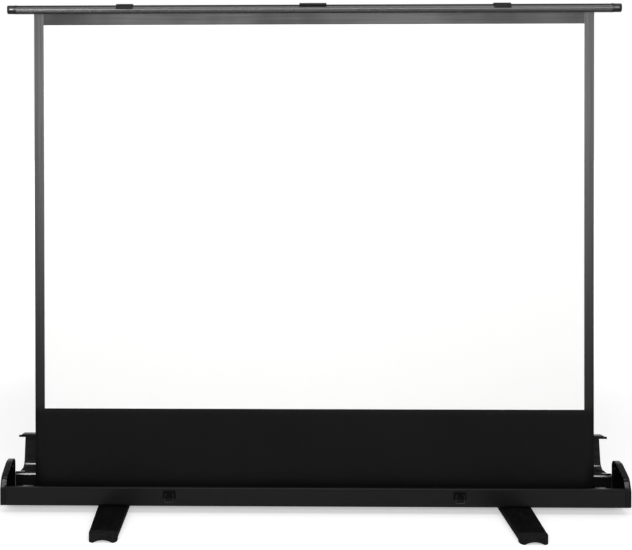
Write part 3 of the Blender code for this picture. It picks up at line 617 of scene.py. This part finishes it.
def make_screen_sheet():
    """The black-backed sheet with its white picture area, held flat between the roll and the bar."""
    cloth_low, cloth_high = corners_of("screen_fabric")
    width = cloth_high.x - cloth_low.x
    path = sheet_path()
    lengths = lengths_along(path)
    length, start = lengths[-1], path[0][1]
    bpy.ops.mesh.primitive_grid_add(x_subdivisions=sheet_columns, y_subdivisions=len(path) - 1, calc_uvs=True)
    sheet = bpy.context.object
    lay_out(sheet, path, lengths, width)
    sheet.data.materials.append(sheet_front(width, length, start))
    sheet.data.materials.append(sheet_back())
    finish_modifier(sheet, "SOLIDIFY", thickness=cloth_high.y - cloth_low.y, offset=-1.0, material_offset=1,
                    material_offset_rim=1)
    sheet.name = "screen_sheet"
    sheet.data.name = "screen_sheet"
    for face in sheet.data.polygons:
        face.use_smooth = True
    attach(sheet, "case")
    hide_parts("screen_fabric", "viewing_surface")
    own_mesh(sheet)


def border_with_sheen(coat, spread, up, beside, cloudy, top):
    """The black border, streaked, with painted sheen that makes its upper part and its sides lighter, as the
    light falls there.
    """
    along_streaks = coat.noise(1.0, 4.0, coat.scaled(spread, 3.0, 170.0))
    down_streaks = coat.noise(1.0, 4.0, coat.scaled(spread, 170.0, 3.0))
    streaks = along_streaks * (1 - beside) + down_streaks * beside
    # Painted sheen: the border lightens towards the top, and more at the sides
    sheen_tone = coat.blend(cloudy.clear(0.38, 0.62), colour_of(0.052), colour_of(0.118))
    sheen_tone = coat.blend(beside, sheen_tone, colour_of(0.150))
    border = coat.blend(up.clear(sheen_rise, top * 0.92), colour_of(0.010), sheen_tone)
    return coat.blend(streaks.clear(0.40, 0.75) * 0.35, border, colour_of(0.020))


def sheet_front(width, length, start):
    """Matt white picture coating inside a black printed border, with a fine calendered grain."""
    view_low, view_high = corners_of("viewing_surface")
    coat = Finish("picture_coating", colour_of(0.8), 0.9, Specular_IOR_Level=0.09)
    spread = coat.scaled(coat.node("TexCoord", {}, output="UV"), width, length)
    across = coat.node("SeparateXYZ", {}, spread, output="X")
    up = coat.node("SeparateXYZ", {}, spread, output="Y")
    inside = (across > width / 2 - view_high.x) * (across < width / 2 + view_high.x)
    beside = 1 - inside
    white = inside * (up > view_low.z - start) * (up < view_high.z - start)
    cloudy = coat.noise(3.0, 3.0, spread)
    drop = coat.blend(cloudy, colour_of(0.0020), colour_of(0.0045))
    # The black border with its painted sheen
    sheen_border = border_with_sheen(coat, spread, up, beside, cloudy, view_high.z)
    drop_top = view_low.z - start
    black = coat.blend(up.clear(drop_top - edge_blur, drop_top + edge_blur), drop, sheen_border)
    coat.feed("Base Color", coat.blend(white, black, (0.86, 0.86, 0.855, 1)))
    coat.feed("Roughness", 0.42 + white * 0.5 + cloudy * 0.06)
    coat.relief(coat.noise(2400.0, 2.0, spread), 0.00006)
    return coat.material


def sheet_back():
    """The sheet's black backing, with the weave of its scrim showing through."""
    back = Finish("black_backing", colour_of(0.010), 0.66, Specular_IOR_Level=0.16)
    spread = back.scaled(back.node("TexCoord", {}, output="UV"), weave_width, weave_length)
    warp = (back.node("SeparateXYZ", {}, spread, output="X") * weave_rate).wave()
    weft = (back.node("SeparateXYZ", {}, spread, output="Y") * weave_rate).wave()
    back.feed("Roughness", 0.58 + back.noise(40.0, 4.0) * 0.18)
    back.relief(warp * weft, 0.00005)
    return back.material


# What is left of the sheet on the roller

roll_turns = 3
turn_steps = 28


def spiral(middle, inner, outer):
    """The way of the wound sheet in Y and Z, from the outside in."""
    count = roll_turns * turn_steps
    path = []
    for step in range(count + 1):
        angle = pi + 2 * pi * step / turn_steps
        radius = outer - (outer - inner) * step / count
        path.append((middle.y + radius * cos(angle), middle.z + radius * sin(angle)))
    return path


def make_wound_roll():
    """What is left of the sheet on the roller, wound as one spiral."""
    low, high = corners_of("wound_fabric")
    tube_low, tube_high = corners_of("roller_tube")
    outer = (high.z - low.z) / 2
    inner = (tube_high.z - tube_low.z) / 2 + clearance / 3
    path = spiral((low + high) / 2, inner, outer - clearance)
    bpy.ops.mesh.primitive_grid_add(x_subdivisions=1, y_subdivisions=len(path) - 1, calc_uvs=True)
    roll = bpy.context.object
    for at, vertex in enumerate(roll.data.vertices):
        row, column = divmod(at, 2)
        vertex.co = ((low.x, high.x)[column], *path[row])
    finish_modifier(roll, "SOLIDIFY", thickness=(outer - inner) / roll_turns / 2, offset=0.0)
    edit(roll)
    bpy.ops.mesh.normals_make_consistent(inside=False)
    leave()
    place(roll, "wound_roll", sheet_back(), "roller", ["wound_fabric"], smooth=40)


# Screws

screw_sides = 20
recess_long, recess_short = 0.52, 0.11


def make_screw(name, axis, centre, way, radius):
    """A pan-head screw with a cross recess. Its head stands out along an axis, one way."""
    rise = radius * 0.6
    start = "xyz".index(axis)
    middle = list(centre)
    middle[start] += way * rise / 2
    head = soften(disc(name, axis, radius, middle, rise / 2, screw_sides), radius * 0.22, 2)
    first, second = middle[(start + 1) % 3], middle[(start + 2) % 3]
    top = middle[start] + way * rise / 2
    slot_low, slot_high = sorted((top - way * rise * 0.7, top + way * rise))
    tools = []
    for long, short in ((recess_long, recess_short), (recess_short, recess_long)):
        low = (first - radius * long, second - radius * short)
        high = (first + radius * long, second + radius * short)
        tools.append(bar("cross", axis, oblong(low, high, 0, 1), slot_low, slot_high))
    return cut(head, *tools)


# Top bar

bar_corner_shares = (0.40, 0.18, 0.26, 0.50)
bar_corner_steps = 9
groove_share = 0.28
groove_half, groove_depth = 0.0004, 0.0010
mouth_half = 0.0011
bar_edge = 0.00025
# Height of the matt strip that paints the shade along the bar's top
shade_strip_height = 0.0040
collar_length = 0.0045
collar_step = 0.0006
collar_edge = 0.0005
end_corner_share = 0.34
end_corner_steps = 7
end_rim = 0.0035
end_dish = 0.0012
end_edge = 0.0011
end_screw_radius = 0.0026
clip_screw_radius = 0.0028
clip_lip = 0.0165
grip_lip = 0.0085


def across_bar(name, low_y, high_y, low_z, high_z, reach):
    """A plain cutting block that runs past both ends of the bar."""
    return bar(name, "x", oblong((low_y, low_z), (high_y, high_z), 0), -reach, reach)


def make_top_bar():
    """The bar's extrusion with its hem slot and a fine groove, and a matt black strip along its top that is
    painted shade for the dark line on the bar's rounded top.
    """
    low, high = corners_of("top_bar")
    rod_low, rod_high = corners_of("hem_rod")
    rod = (rod_low + rod_high) / 2
    height = high.z - low.z
    past = high.x * 2
    corners = [(low.y, low.z), (high.y, low.z), (high.y, high.z), (low.y, high.z)]
    section = rounded(corners, [height * share for share in bar_corner_shares], bar_corner_steps)
    rail = bar("top_bar_rail", "x", section, low.x, high.x)
    # A dark strip on the bar's top, as painted shade
    strip = bar("bar_shade_strip", "x", section, low.x, high.x)
    bore = disc("bore", "x", rod_high.z - rod.z + 2 * clearance, rod, past, 20)
    mouth = across_bar("mouth", rod.y - mouth_half, rod.y + mouth_half, low.z - height, rod.z, past)
    groove_z = low.z + height * groove_share
    groove = across_bar("groove", low.y - height, low.y + groove_depth, groove_z - groove_half,
                        groove_z + groove_half, past)
    seam = high.z - shade_strip_height
    cut(rail, bore, mouth, groove, across_bar("over_seam", low.y * 2, -low.y, seam, seam + height, past))
    cut(strip, across_bar("under_seam", low.y * 2, -low.y, seam - height * 2, seam, past))
    place(soften(rail, bar_edge, 1, 35), "top_bar_rail", bar_paint, "top_bar_body", ["top_bar"])
    place(soften(strip, bar_edge, 1, 35), "bar_shade_strip", matt_black, "top_bar_body", [])


def make_bar_end(side, way):
    """The glossy cap on one end of the bar: a collar, a waist line and a dished end."""
    node = f"bar_end_{side}"
    low, high = corners_of(node)
    inner, outer = (high.x, low.x) if way < 0 else (low.x, high.x)
    collar = inner + way * collar_length
    corner = (high.z - low.z) * end_corner_share
    outline = oblong((low.y + collar_step, low.z + collar_step), (high.y - collar_step, high.z - collar_step),
                     corner, end_corner_steps)
    shell = bar(node, "x", outline, *sorted((collar, outer)))
    edit(shell)
    choose(shell, lambda centre, normal: normal.x * way > 0.9)
    bpy.ops.mesh.inset(thickness=end_rim)
    bpy.ops.mesh.extrude_region_move(TRANSFORM_OT_translate={"value": (-way * end_dish, 0, 0)})
    leave()
    soften(shell, end_edge, 3)
    outline = oblong((low.y, low.z), (high.y, high.z), corner, end_corner_steps)
    band = soften(bar(f"{node}_collar", "x", outline, *sorted((inner, collar))), collar_edge)
    spot = (outer - way * end_dish, (low.y + high.y) / 2, (low.z + high.z) / 2)
    screw = make_screw(f"{node}_screw", "x", spot, way, end_screw_radius)
    place(gather(node, [shell, band, screw]), f"{node}_moulding", bar_gloss, "top_bar_body", [node])


def make_bar_fitting(node, screws, lip):
    """A wrap over the bar's top, with a lip down its front, and the screws that hold it behind."""
    low, high = corners_of(node)
    wrap = solid_copy(node)
    if high.z - low.z > lip:
        cut(wrap, across_bar("below_lip", low.y * 2, -low.y, low.z * 0.9, high.z - lip, high.x * 2))
    parts = [soften(wrap, 0.0006, 2, 32)]
    for step in range(screws):
        across = low.x + (high.x - low.x) * (step + 0.5) / screws
        spot = (across, high.y - clearance, high.z - lip / 2)
        parts.append(make_screw(f"{node}_screw", "y", spot, 1, clip_screw_radius))
    place(gather(node, parts), f"{node}_moulding", fine_plastic, "top_bar_body", [node])


# Case

case_edge = 0.0005
reveal_half, reveal_depth = 0.0006, 0.0005
reveal_drop, reveal_rise = 0.0052, 0.0065
past_case = 0.01
post_spots = ((0.33, 0.78), (-0.33, 0.46), (0.33, 0.20), (-0.33, 0.20))
post_radius, post_half = 0.0046, 0.0058
post_inset = 0.0085
post_screw_radius = 0.0034
face_screw_spots = ((0.22, 0.22), (-0.22, 0.22), (0.18, 0.62))
face_screw_radius = 0.0036
face_screw_sunk = 0.0006
hinge_boss_radius = 0.0036


def make_tray():
    """The trough's extrusion: its walls with rounded edges, and two fine reveals along the front."""
    low, high = corners_of("case_tray")
    tray = soft_solid("case_tray", case_edge)
    reveals = []
    for height in (high.z - reveal_drop, low.z + reveal_rise):
        outline = oblong((low.y - past_case, height - reveal_half),
                         (low.y + reveal_depth, height + reveal_half), 0)
        reveals.append(bar("reveal", "x", outline, low.x - past_case, high.x + past_case))
    place(cut(tray, *reveals), "case_trough", satin_paint, "case", ["case_tray"])


def screw_posts(spots, inner, way):
    """The posts inside a case end, each with a screw in its face."""
    parts = []
    for across, up in spots:
        spot = (inner + way * post_inset, across, up)
        cap_spot = (spot[0] - way * post_half, across, up)
        parts.append(soften(disc("post", "x", post_radius, spot, post_half, 20), 0.0005, 2))
        parts.append(make_screw("post_screw", "x", cap_spot, -way, post_screw_radius))
    return parts


def hinge_boss(inner, way):
    """The boss inside a case end that closes the end of the hinge."""
    axis = pivot_place("lid_hinge")
    pin_end = corners_of("hinge_pin")[1].x
    start, stop = sorted((way * pin_end + way * clearance, inner))
    middle = ((start + stop) / 2, axis.y, axis.z)
    return soften(disc("hinge_boss", "x", hinge_boss_radius, middle, (stop - start) / 2, 24), 0.0004, 2)


def make_case_end(side, way):
    """A moulded end of the case: its crowned shell, the posts inside it, and the screws through its face."""
    node = f"case_end_{side}"
    low, high = corners_of(node)
    face, inner = (low.x, high.x) if way < 0 else (high.x, low.x)
    depth, rise = high.y - low.y, high.z - low.z
    middle = (low.y + high.y) / 2
    parts = [soft_solid(node, 0.0007)]
    spots = [(middle + depth * across, low.z + rise * up) for across, up in post_spots]
    parts += screw_posts(spots, inner, way)
    for across, up in face_screw_spots:
        spot = (face - way * face_screw_sunk, middle + depth * across, low.z + rise * up)
        parts.append(make_screw("face_screw", "x", spot, way, face_screw_radius))
    parts.append(hinge_boss(inner, way))
    place(gather(node, parts), f"{node}_moulding", end_gloss, "case", [node])


# Latches

plate_screw_reach = 0.0158
plate_screw_rise = 0.0048
plate_screw_depth = 0.0020
plate_screw_radius = 0.0021
thumb_rim, thumb_dip = 0.0014, -0.0004
thumb_ribs = 4
thumb_rib_pitch = 0.0016
thumb_rib_radius = 0.0004
thumb_rib_depth = 0.0024


def make_latch_base(side):
    """The latch's plate with its ears, and the two screws that hold it to the case."""
    node = f"latch_base_{side}"
    low, high = corners_of(node)
    parts = [soft_solid(node, 0.0003)]
    middle = (low.x + high.x) / 2
    for end in (-1, 1):
        spot = (middle + end * plate_screw_reach, high.y - plate_screw_depth, low.z + plate_screw_rise)
        parts.append(make_screw("latch_screw", "y", spot, -1, plate_screw_radius))
    place(gather(node, parts), f"{node}_plate", matt_black, "case", [node])


def make_latch_lever(side):
    """The pressed lever, with a dished thumb face and the ribs across it."""
    node = f"latch_lever_{side}"
    low, high = corners_of(node)
    blade = soft_solid(node, 0.0004)
    edit(blade)
    choose(blade, lambda centre, normal: normal.y < -0.95 and centre.y < low.y + (high.y - low.y) * 0.6)
    bpy.ops.mesh.inset(thickness=thumb_rim, depth=thumb_dip)
    leave()
    first = ((low.x + high.x) / 2, low.y + thumb_rib_depth, low.z + (high.z - low.z) * 0.20)
    rib = disc("thumb_rib", "x", thumb_rib_radius, first, (high.x - low.x) * 0.36, 10)
    ribs = repeated(rib, [(0, 0, thumb_rib_pitch * step) for step in range(1, thumb_ribs)])
    place(gather(node, [blade] + ribs), f"{node}_blade", matt_black, f"{node}_body", [node])


def make_latch(side):
    """A draw latch: its plate, its lever, its wire loop, and the hook on the lid."""
    make_latch_base(side)
    make_latch_lever(side)
    loop = f"latch_loop_{side}"
    soft_copy(loop, f"{loop}_wire", dark_wire, f"{loop}_body", 0.00012, 1)
    keeper = f"latch_keeper_{side}"
    soft_copy(keeper, f"{keeper}_hook", plated_steel, "lid_body", 0.0003)


# Feet

groove_pitch = 0.009
grip_groove_half, grip_groove_depth = 0.0011, 0.0005
groove_reach = (0.42, 0.93)
nose_ribs = 3
nose_rib_radius = 0.0007
nose_rib_sunk = 0.0002


def make_foot(side):
    """A swivelling foot: its shell with grip grooves on top, its bolt and its rubber ends."""
    node = f"foot_{side}"
    low, high = corners_of(node)
    middle = (low.x + high.x) / 2
    shell = soft_solid(node, 0.0006)
    grooves = []
    for step in range(-2, 3):
        spot = middle + step * groove_pitch
        outline = oblong((high.z - grip_groove_depth, spot - grip_groove_half),
                         (high.z + past_case, spot + grip_groove_half), 0)
        for end in (-1, 1):
            reach = sorted(end * high.y * share for share in groove_reach)
            grooves.append(bar("groove", "y", outline, *reach))
    place(cut(shell, *grooves), f"{node}_shell", matt_black, f"{node}_body", [node])
    make_foot_cap(f"foot_cap_front_{side}", f"{node}_body", -1)
    make_foot_cap(f"foot_cap_rear_{side}", f"{node}_body", 1)
    bolt = f"foot_bolt_{side}"
    soft_copy(bolt, f"{bolt}_steel", plated_steel, "case", 0.0004)


def make_foot_cap(node, body, way):
    """A rubber end of a foot, with a tread of fine ribs across its nose."""
    low, high = corners_of(node)
    nose = low.y if way < 0 else high.y
    parts = [soft_solid(node, 0.0012, 3, 34)]
    for step in range(nose_ribs):
        height = low.z + (high.z - low.z) * (0.50 + 0.13 * step)
        spot = ((low.x + high.x) / 2, nose - way * nose_rib_sunk, height)
        parts.append(disc("nose_rib", "x", nose_rib_radius, spot, (high.x - low.x) * 0.30, 10))
    place(gather(node, parts), f"{node}_rubber", dull_rubber, body, [node])


# Knee arms

rivet_from_pivot = 0.048
rivet_radius = 0.0030
rivet_rise = 0.0009
dimple_radius, dimple_depth = 0.0018, 0.0004
yoke_plate = 0.0018
yoke_screw_drop = 0.010
yoke_screw_radius = 0.0032


def make_arm(level, side, way):
    """One arm: its tube with rolled edges, its two geared knuckles, and the rivets through their plugs."""
    arm = f"{level}_arm_{side}"
    tube = f"{arm}_tube"
    lean = "left" if (level == "lower") == (way < 0) else "right"
    soft_copy(tube, f"{tube}_rail", arm_metals[lean], arm, 0.0004)
    for end in ("lower", "upper"):
        knuckle = f"{arm}_{end}_knuckle"
        soft_copy(knuckle, f"{knuckle}_moulding", smooth_plastic, arm, 0.00025, 1)
    make_rivets(level, arm, way)


def make_rivets(level, arm, way):
    """The rivet heads on both faces of an arm's tube, at a set distance from the pivot at either end."""
    ends = ("arm_fold", "elbow_left") if level == "lower" else ("elbow_left", "top_pivot")
    start, stop = [pivot_place(joint) for joint in ends]
    along = stop - start
    along.y = 0
    low, high = corners_of(f"{arm}_tube")
    heads = []
    for from_pivot in (rivet_from_pivot, along.length - rivet_from_pivot):
        spot = start + along.normalized() * from_pivot
        for face, out in ((low.y, -1), (high.y, 1)):
            centre = (spot.x * -way, face + out * rivet_rise / 2, spot.z)
            head = disc("rivet", "y", rivet_radius, centre, rivet_rise, 20)
            heads.append(soften(head, rivet_rise * 0.7, 3))
    rivets = place(gather(f"{arm}_rivets", heads), f"{arm}_rivets", plated_steel, arm, [])


def make_elbow_pin(side):
    """The shouldered pin of an elbow, with the dimple that its riveting leaves in each end."""
    node = f"elbow_pin_{side}"
    low, high = corners_of(node)
    middle = (low + high) / 2
    pin = soft_solid(node, 0.0003)
    for end in (low.y, high.y):
        cut(pin, disc("dimple", "y", dimple_radius, (middle.x, end, middle.z), dimple_depth, 20))
    place(pin, f"{node}_turned", plated_steel, f"lower_arm_{side}", [node])


def make_arm_brackets():
    """The brackets that carry the arms: the stand in the case, and the yoke screwed to the bar's back."""
    soft_copy("arm_stand", "arm_stand_pressing", plated_steel, "case", 0.0003)
    low, high = corners_of("arm_yoke")
    first = (low.x * 0.78, low.y + yoke_plate - clearance, high.z - yoke_screw_drop)
    steps = [(-first[0] * share, 0, 0) for share in (0.6, 1.4, 2.0)]
    screws = repeated(make_screw("yoke_screw", "y", first, 1, yoke_screw_radius), steps)
    yoke = gather("arm_yoke", [soft_solid("arm_yoke", 0.0003, angle=28)] + screws)
    place(yoke, "arm_yoke_pressing", plated_steel, "top_bar_body", ["arm_yoke"])


# Roller

bracket_foot = 0.0019
bracket_foot_shift = -0.002
bracket_screw_radius = 0.0028
tab_rise = 0.0392
tab_reach = 0.0300
tab_plate = 0.0015
tab_half_width = 0.0075


def axle_tab(low, high, way):
    """The folded tab at the top of a roller bracket, which keeps the axle down."""
    plate_x = high.x if way < 0 else low.x
    rise, reach = low.z + tab_rise, way * tab_reach
    folded = [(high.z - tab_plate, plate_x), (rise, plate_x), (rise, plate_x + reach),
              (rise - tab_plate, plate_x + reach), (rise - tab_plate, plate_x + way * 2 * tab_plate),
              (high.z - tab_plate, plate_x + way * 2 * tab_plate)]
    middle = (low.y + high.y) / 2
    return soften(bar("axle_tab", "y", folded, middle - tab_half_width, middle + tab_half_width), 0.0003, 2)


def make_roller_bracket(side, way):
    """A bracket of the roller, with the screws through its foot and the tab over the axle."""
    node = f"roller_bracket_{side}"
    low, high = corners_of(node)
    parts = [soft_solid(node, 0.0003)]
    foot_x = (low.x + high.x) / 2 + way * bracket_foot_shift
    for share in (0.28, 0.72):
        spot = (foot_x, low.y + (high.y - low.y) * share, low.z + bracket_foot)
        parts.append(make_screw("bracket_screw", "z", spot, 1, bracket_screw_radius))
    parts.append(axle_tab(low, high, way))
    place(gather(node, parts), f"{node}_pressing", plated_steel, "case", [node])


def make_roller():
    """The roller's tube, the plugs that close it, and the brackets on the case's floor that carry it."""
    soft_copy("roller_tube", "roller_tube_rail", long_metal, "roller", 0.0002, 1)
    for side, way in sides:
        plug = f"roller_plug_{side}"
        soft_copy(plug, f"{plug}_moulding", fine_plastic, "roller", 0.0004)
        make_roller_bracket(side, way)


# Hinge, lid and handle

lid_open_angle = radians(100)
lid_rise = 0.049
lid_wall = 0.0022
lip_inset = 0.002
rib_half = 0.0011
rib_height = 0.0030
top_rib_shares = (-0.55, -0.12, 0.30)
back_rib_shares = (0.24, 0.58)
hinge_plate = 0.0014
hinge_screws = 16
hinge_screw_radius = 0.0028
stop_plate = 0.0023
stop_screw_inset = 0.008
stop_screw_rise = 0.010
stop_screw_radius = 0.0034
ring_pitch = 0.0066
grip_rings = 11
mount_rise = 0.0143
mount_screw_radius = 0.0034
handle_line = -0.012
ridge_height = 0.0012
ridge_root = 0.0008
ridge_width = 0.0042
lid_ridge_spot = (0.0420, 0.1265)
lid_ridge_way = (-0.235, -0.972)
rim_ridge_way = (-0.916, 0.40)


def opened(*things):
    """Carries solids that are made on the closed lid round to where the open lid has them."""
    axis = pivot_place("lid_hinge")
    turn = Matrix.Rotation(-lid_open_angle, 4, "X")
    for thing in things:
        thing.data.transform(Matrix.Translation(axis) @ turn @ Matrix.Translation(-axis))
    return list(things)


def make_hinge():
    """The long hinge: a row of screws through each leaf, and the wire pin through the eyes."""
    axis = pivot_place("lid_hinge")
    low, high = corners_of("hinge_case_leaf")
    pitch = (high.x - low.x) / hinge_screws
    drop = (axis.z - low.z) * 0.66
    for leaf, body, way in (("hinge_case_leaf", "case", -1), ("hinge_lid_leaf", "lid_body", 1)):
        first = (low.x + pitch / 2, low.y + hinge_plate - clearance, axis.z + way * drop)
        screw = make_screw("hinge_screw", "y", first, 1, hinge_screw_radius)
        screws = repeated(screw, [(pitch * step, 0, 0) for step in range(1, hinge_screws)])
        if way > 0:
            opened(*screws)
        leaf_plate = soft_solid(leaf, 0.00025, 1, 28)
        place(gather(leaf, [leaf_plate] + screws), f"{leaf}_screwed", satin_paint, body, [leaf])
    soft_copy("hinge_pin", "hinge_pin_wire", plated_steel, "case", 0.0004)


def lid_rib(spot, half_depth, half_height, low, high):
    """One rib along the closed lid, about a spot in Y and Z."""
    outline = oblong((spot[0] - half_depth[0], spot[1] - half_height[0]),
                     (spot[0] + half_depth[1], spot[1] + half_height[1]), 0)
    return bar("lid_rib", "x", outline, low.x + lip_inset, high.x - lip_inset)


def make_lid():
    """The lid: its bent shell with rolled lips, and the ribs drawn along its inside to stiffen it."""
    axis = pivot_place("lid_hinge")
    case_low, case_high = corners_of("case_tray")
    low, high = corners_of("lid")
    half = (case_high.y - case_low.y) / 2
    inward, sideways = (rib_height, clearance), (rib_half, rib_half)
    ribs = []
    for share in top_rib_shares:
        spot = (half * share, axis.z + lid_rise - lid_wall)
        ribs.append(lid_rib(spot, sideways, inward, low, high))
    for share in back_rib_shares:
        spot = (half - lid_wall, axis.z + lid_rise * share)
        ribs.append(lid_rib(spot, inward, sideways, low, high))
    shell = soft_solid("lid", 0.0005, angle=28)
    place(gather("lid", [shell] + opened(*ribs)), "lid_shell", satin_paint, "lid_body", ["lid"])
    soft_copy("lid_seal", "lid_seal_strip", dull_rubber, "lid_body", 0.0012)


def make_ridge(spot, way, low, high):
    """A low ridge along X at a spot in Y and Z. Its flat face looks along a way, and is seen as one line."""
    facing = Vector(way).normalized()
    along = Vector((-facing.y, facing.x)) * (ridge_width / 2)
    root = Vector(spot) - facing * ridge_root
    crest = Vector(spot) + facing * ridge_height
    outline = [tuple(point) for point in (root - along, crest - along, crest + along, root + along)]
    return bar("ridge", "x", outline, low.x + lip_inset, high.x - lip_inset)


def make_ridges():
    """The drawn ridges that catch the light: one in the lid's corner and one under the rear rim. Their pale
    metal is a painted highlight for the lines that the light draws on the glossy lid corner and rim.
    """
    low, high = corners_of("lid")
    lid_ridge = opened(make_ridge(lid_ridge_spot, lid_ridge_way, low, high))[0]
    low, high = corners_of("case_tray")
    rim_spot = (high.y - lid_wall - clearance, high.z - ridge_width * 0.6)
    rim_ridge = make_ridge(rim_spot, rim_ridge_way, low, high)
    place(lid_ridge, "lid_corner_ridge", highlight_ridge_metal, "lid_body", [])
    place(rim_ridge, "case_rim_ridge", highlight_ridge_metal, "case", [])


def make_lid_stop(side):
    """A bracket behind the case that the open lid rests on, with its two screws."""
    node = f"lid_stop_{side}"
    low, high = corners_of(node)
    first = (low.x + stop_screw_inset, low.y + stop_plate - clearance, low.z + stop_screw_rise)
    step = (high.x - low.x - 2 * stop_screw_inset, 0, 0)
    screws = repeated(make_screw("stop_screw", "y", first, 1, stop_screw_radius), [step])
    bracket = soft_solid(node, 0.0005, angle=28)
    place(gather(node, [bracket] + screws), f"{node}_pressing", plated_steel, "case", [node])


def make_handle():
    """The carrying bail with finger rings round its grip, and the screwed blocks that it turns in."""
    low, high = corners_of("carry_handle")
    radius = (high.y - low.y) / 2
    first = (-ring_pitch * (grip_rings - 1) / 2, low.y + radius, low.z + radius)
    finger_ring = soften(disc("finger_ring", "x", radius * 1.12, first, ring_pitch * 0.26, 20), radius * 0.12)
    rings = repeated(finger_ring, [(ring_pitch * step, 0, 0) for step in range(1, grip_rings)])
    bail = gather("carry_handle", [soft_solid("carry_handle", 0.0005, angle=28)] + rings)
    place(bail, "carry_bail", smooth_plastic, "handle_body", ["carry_handle"])
    top = pivot_place("lid_hinge").z + lid_rise + mount_rise
    for side, way in sides:
        node = f"handle_mount_{side}"
        box_low, box_high = corners_of(node)
        spot = ((box_low.x + box_high.x) / 2, handle_line, top - clearance)
        screw = opened(make_screw("mount_screw", "z", spot, 1, mount_screw_radius))
        block = soft_solid(node, 0.0004, angle=28)
        place(gather(node, [block] + screw), f"{node}_moulding", fine_plastic, "lid_body", [node])


# The screen, piece by piece

make_screen_sheet()
make_wound_roll()
make_top_bar()
for side, way in sides:
    make_bar_end(side, way)
    make_bar_fitting(f"bar_clip_{side}", 1, clip_lip)
make_bar_fitting("bar_grip", 0, grip_lip)
make_tray()
for side, way in sides:
    make_case_end(side, way)
make_lid()
for side, way in sides:
    make_latch(side)
    make_foot(side)
    for level in ("lower", "upper"):
        make_arm(level, side, way)
    make_elbow_pin(side)
    make_lid_stop(side)
make_arm_brackets()
make_roller()
make_hinge()
make_ridges()
make_handle()
soft_copy("hem_rod", "hem_rod_wire", long_metal, "top_bar_body", 0.0004)
